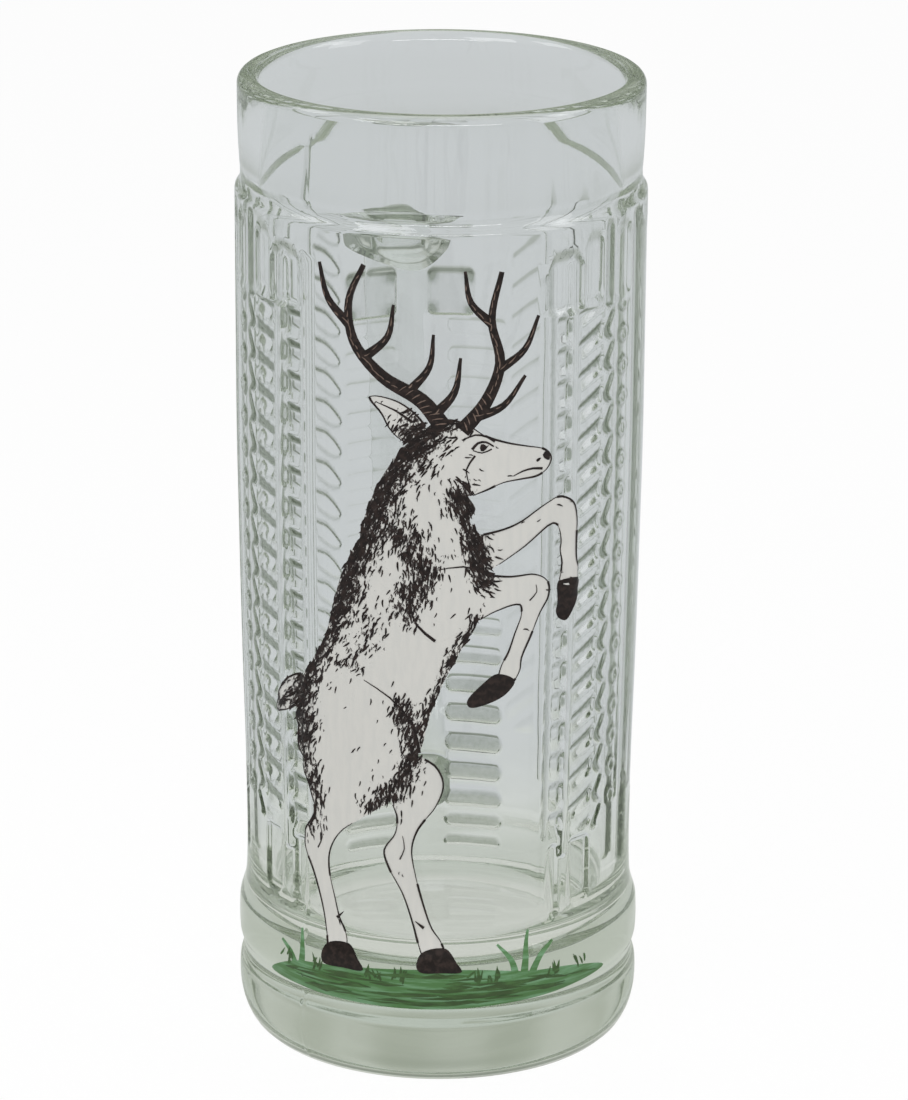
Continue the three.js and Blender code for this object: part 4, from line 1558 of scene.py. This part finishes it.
@dataclass
class Studio:
    """The pale floor, the surroundings, the lamps and the camera."""

    camera_turn: float = -6.0
    camera_place: Place = (2.77, -911.0, 393.0)
    pitch: float = 18.13
    tilt: float = 0.0057
    lens: float = 163.6
    sensor: float = 36.0
    sight: Span = (0.05, 20.0)
    aim: Place = (0.0, 0.0, 0.09)
    floor_half: float = 1.6
    floor_height: float = -0.0005
    floor_glow: float = 0.93
    floor_patches: float = 22.0
    floor_edge: Span = (0.38, 0.62)
    haze_patches: float = 2.6
    haze_edge: Span = (0.36, 0.64)
    white: Colour = (1.0, 1.0, 1.0)
    grey: Colour = (0.5, 0.5, 0.5)
    under: Colour = (0.72, 0.73, 0.7)
    # Painted shadow: a darker ring on the floor round the glass, standing in for the stein's shadow and seen
    # only through the glass
    ring: Colour = (0.6, 0.63, 0.585)
    bright: Colour = (0.72, 0.745, 0.715)
    shaded: Colour = (0.62, 0.65, 0.605)
    pale: Colour = (0.64, 0.665, 0.68)
    middle: Colour = (0.46, 0.49, 0.46)
    dusk: Colour = (0.25, 0.28, 0.235)
    haze: Colour = (0.6, 0.625, 0.585)
    deep_haze: Colour = (0.48, 0.51, 0.455)
    ceiling: Colour = (0.66, 0.7, 0.68)
    under_reach: Span = (0.037, 0.042)
    ring_reach: Span = (0.056, 0.07)
    bright_reach: Span = (0.07, 0.19)
    pale_reach: Span = (0.62, 1.4)
    dusk_rise: Span = (-0.1, 0.0)
    haze_rise: Span = (0.2, 0.32)
    ceiling_rise: Span = (0.4, 0.6)
    turns: int = 32
    lamps: tuple[Lamp, ...] = (
        Lamp("key_lamp", (-0.75, -0.85, 0.95), (0.7, 0.7), 5.5),
        Lamp("fill_lamp", (0.95, -0.55, 0.55), (0.5, 0.8), 2.6),
        Lamp("strip_lamp", (-0.1, -1.25, 0.56), (1.6, 0.1), 4.0),
        Lamp("left_lamp", (-1.05, 0.05, 1.0), (0.5, 0.5), 2.0),
        Lamp("right_lamp", (1.03, -0.18, 1.0), (0.5, 0.5), 2.0),
    )

    def floor(self) -> None:
        """Lays the floor, white to the camera, and through the glass pale near by, with a painted shadow ring
        round the glass, and dimmer far off.
        """
        made = bmesh.new()
        bmesh.ops.create_grid(made, x_segments=1, y_segments=1, size=self.floor_half)
        bmesh.ops.translate(made, vec=(0.0, 0.0, self.floor_height), verts=made.verts)
        data = bpy.data.meshes.new("floor")
        made.to_mesh(data)
        made.free()
        finish = bpy.data.materials.new("pale_floor")
        bench = Bench(finish)
        place = bench.node("TexCoord", result="Object")
        away = bench.node("VectorMath", {0: place}, "Value", operation="LENGTH")
        patches = bench.clouds(place, self.floor_patches, 2.0).rise(*self.floor_edge)
        patches = bench.mix(patches, self.bright, self.shaded)
        ground = self.under
        # The painted shadow ring lies between the first two reaches, darker than the floor under the glass
        for reach, colour in ((self.under_reach, self.ring), (self.ring_reach, patches),
                              (self.bright_reach, self.pale), (self.pale_reach, self.middle)):
            ground = bench.mix(away.rise(*reach), ground, colour)
        colour = bench.mix(bench.ray("Camera"), ground, self.white)
        lit = bench.node("BsdfDiffuse", {"Color": colour}, "BSDF")
        glow = bench.node("Emission", {"Color": colour, "Strength": 1.0}, "Emission")
        bench.close(bench.node("MixShader", {0: self.floor_glow, 1: lit, 2: glow}, "Shader"))
        data.materials.append(finish)
        plane = put("floor", data)

    def surroundings(self) -> None:
        """Surrounds the stein: white to the camera, and to the glass pale and dimmer overhead."""
        world = bpy.data.worlds.new("surroundings")
        bpy.context.scene.world = world
        bench = Bench(world)
        direction = bench.node("TexCoord", result="Generated")
        up = bench.node("SeparateXYZ", {"Vector": direction}, "Z")
        flat = bench.stretched(direction, (1.0, 1.0, 0.3))
        patches = bench.clouds(flat, self.haze_patches, 1.0).rise(*self.haze_edge)
        through = self.middle
        for rise, colour in ((self.dusk_rise, self.dusk),
                             (self.haze_rise, bench.mix(patches, self.deep_haze, self.haze)),
                             (self.ceiling_rise, self.ceiling)):
            through = bench.mix(up.rise(*rise), through, colour)
        plain = bench.mix(bench.ray("Glossy").most(bench.ray("Transmission")), self.grey, through)
        colour = bench.mix(bench.ray("Camera"), plain, self.white)
        bench.close(bench.node("Background", {"Color": colour, "Strength": 1.0}, "Background"))

    def camera(self) -> None:
        """Sets the camera at the photograph's viewing angle."""
        turn = Matrix.Rotation(radians(self.camera_turn), 4, "Z")
        down = Matrix.Rotation(radians(90.0 - self.pitch), 4, "X")
        roll = Matrix.Rotation(self.tilt, 4, "Z")
        data = bpy.data.cameras.new("camera")
        data.lens, data.sensor_width = self.lens, self.sensor
        data.clip_start, data.clip_end = self.sight
        made = put("camera", data)
        made.matrix_world = turn @ Matrix.Translation(Vector(self.camera_place) * MM) @ down @ roll
        bpy.context.scene.camera = made

    def set_up(self) -> None:
        """Sets up the whole studio."""
        self.floor()
        self.surroundings()
        for lamp in self.lamps:
            lamp.hang(Vector(self.aim))
        self.camera()
        scene = bpy.context.scene
        scene.view_settings.view_transform = "Standard"
        scene.cycles.max_bounces = scene.cycles.glossy_bounces = scene.cycles.transmission_bounces = self.turns


def main() -> None:
    """Builds the stein and its studio, in order."""
    logging.basicConfig(level=logging.INFO, format="%(message)s")
    _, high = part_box("glass_body")
    form = VesselForm(high.z / MM)
    pattern = PressedPattern()
    GlassVessel(form, pattern).make()
    AppliedHandle(form).make()
    EnamelStag(Sheet(form, pattern)).make()
    Studio().set_up()


if __name__ == "__main__":
    main()
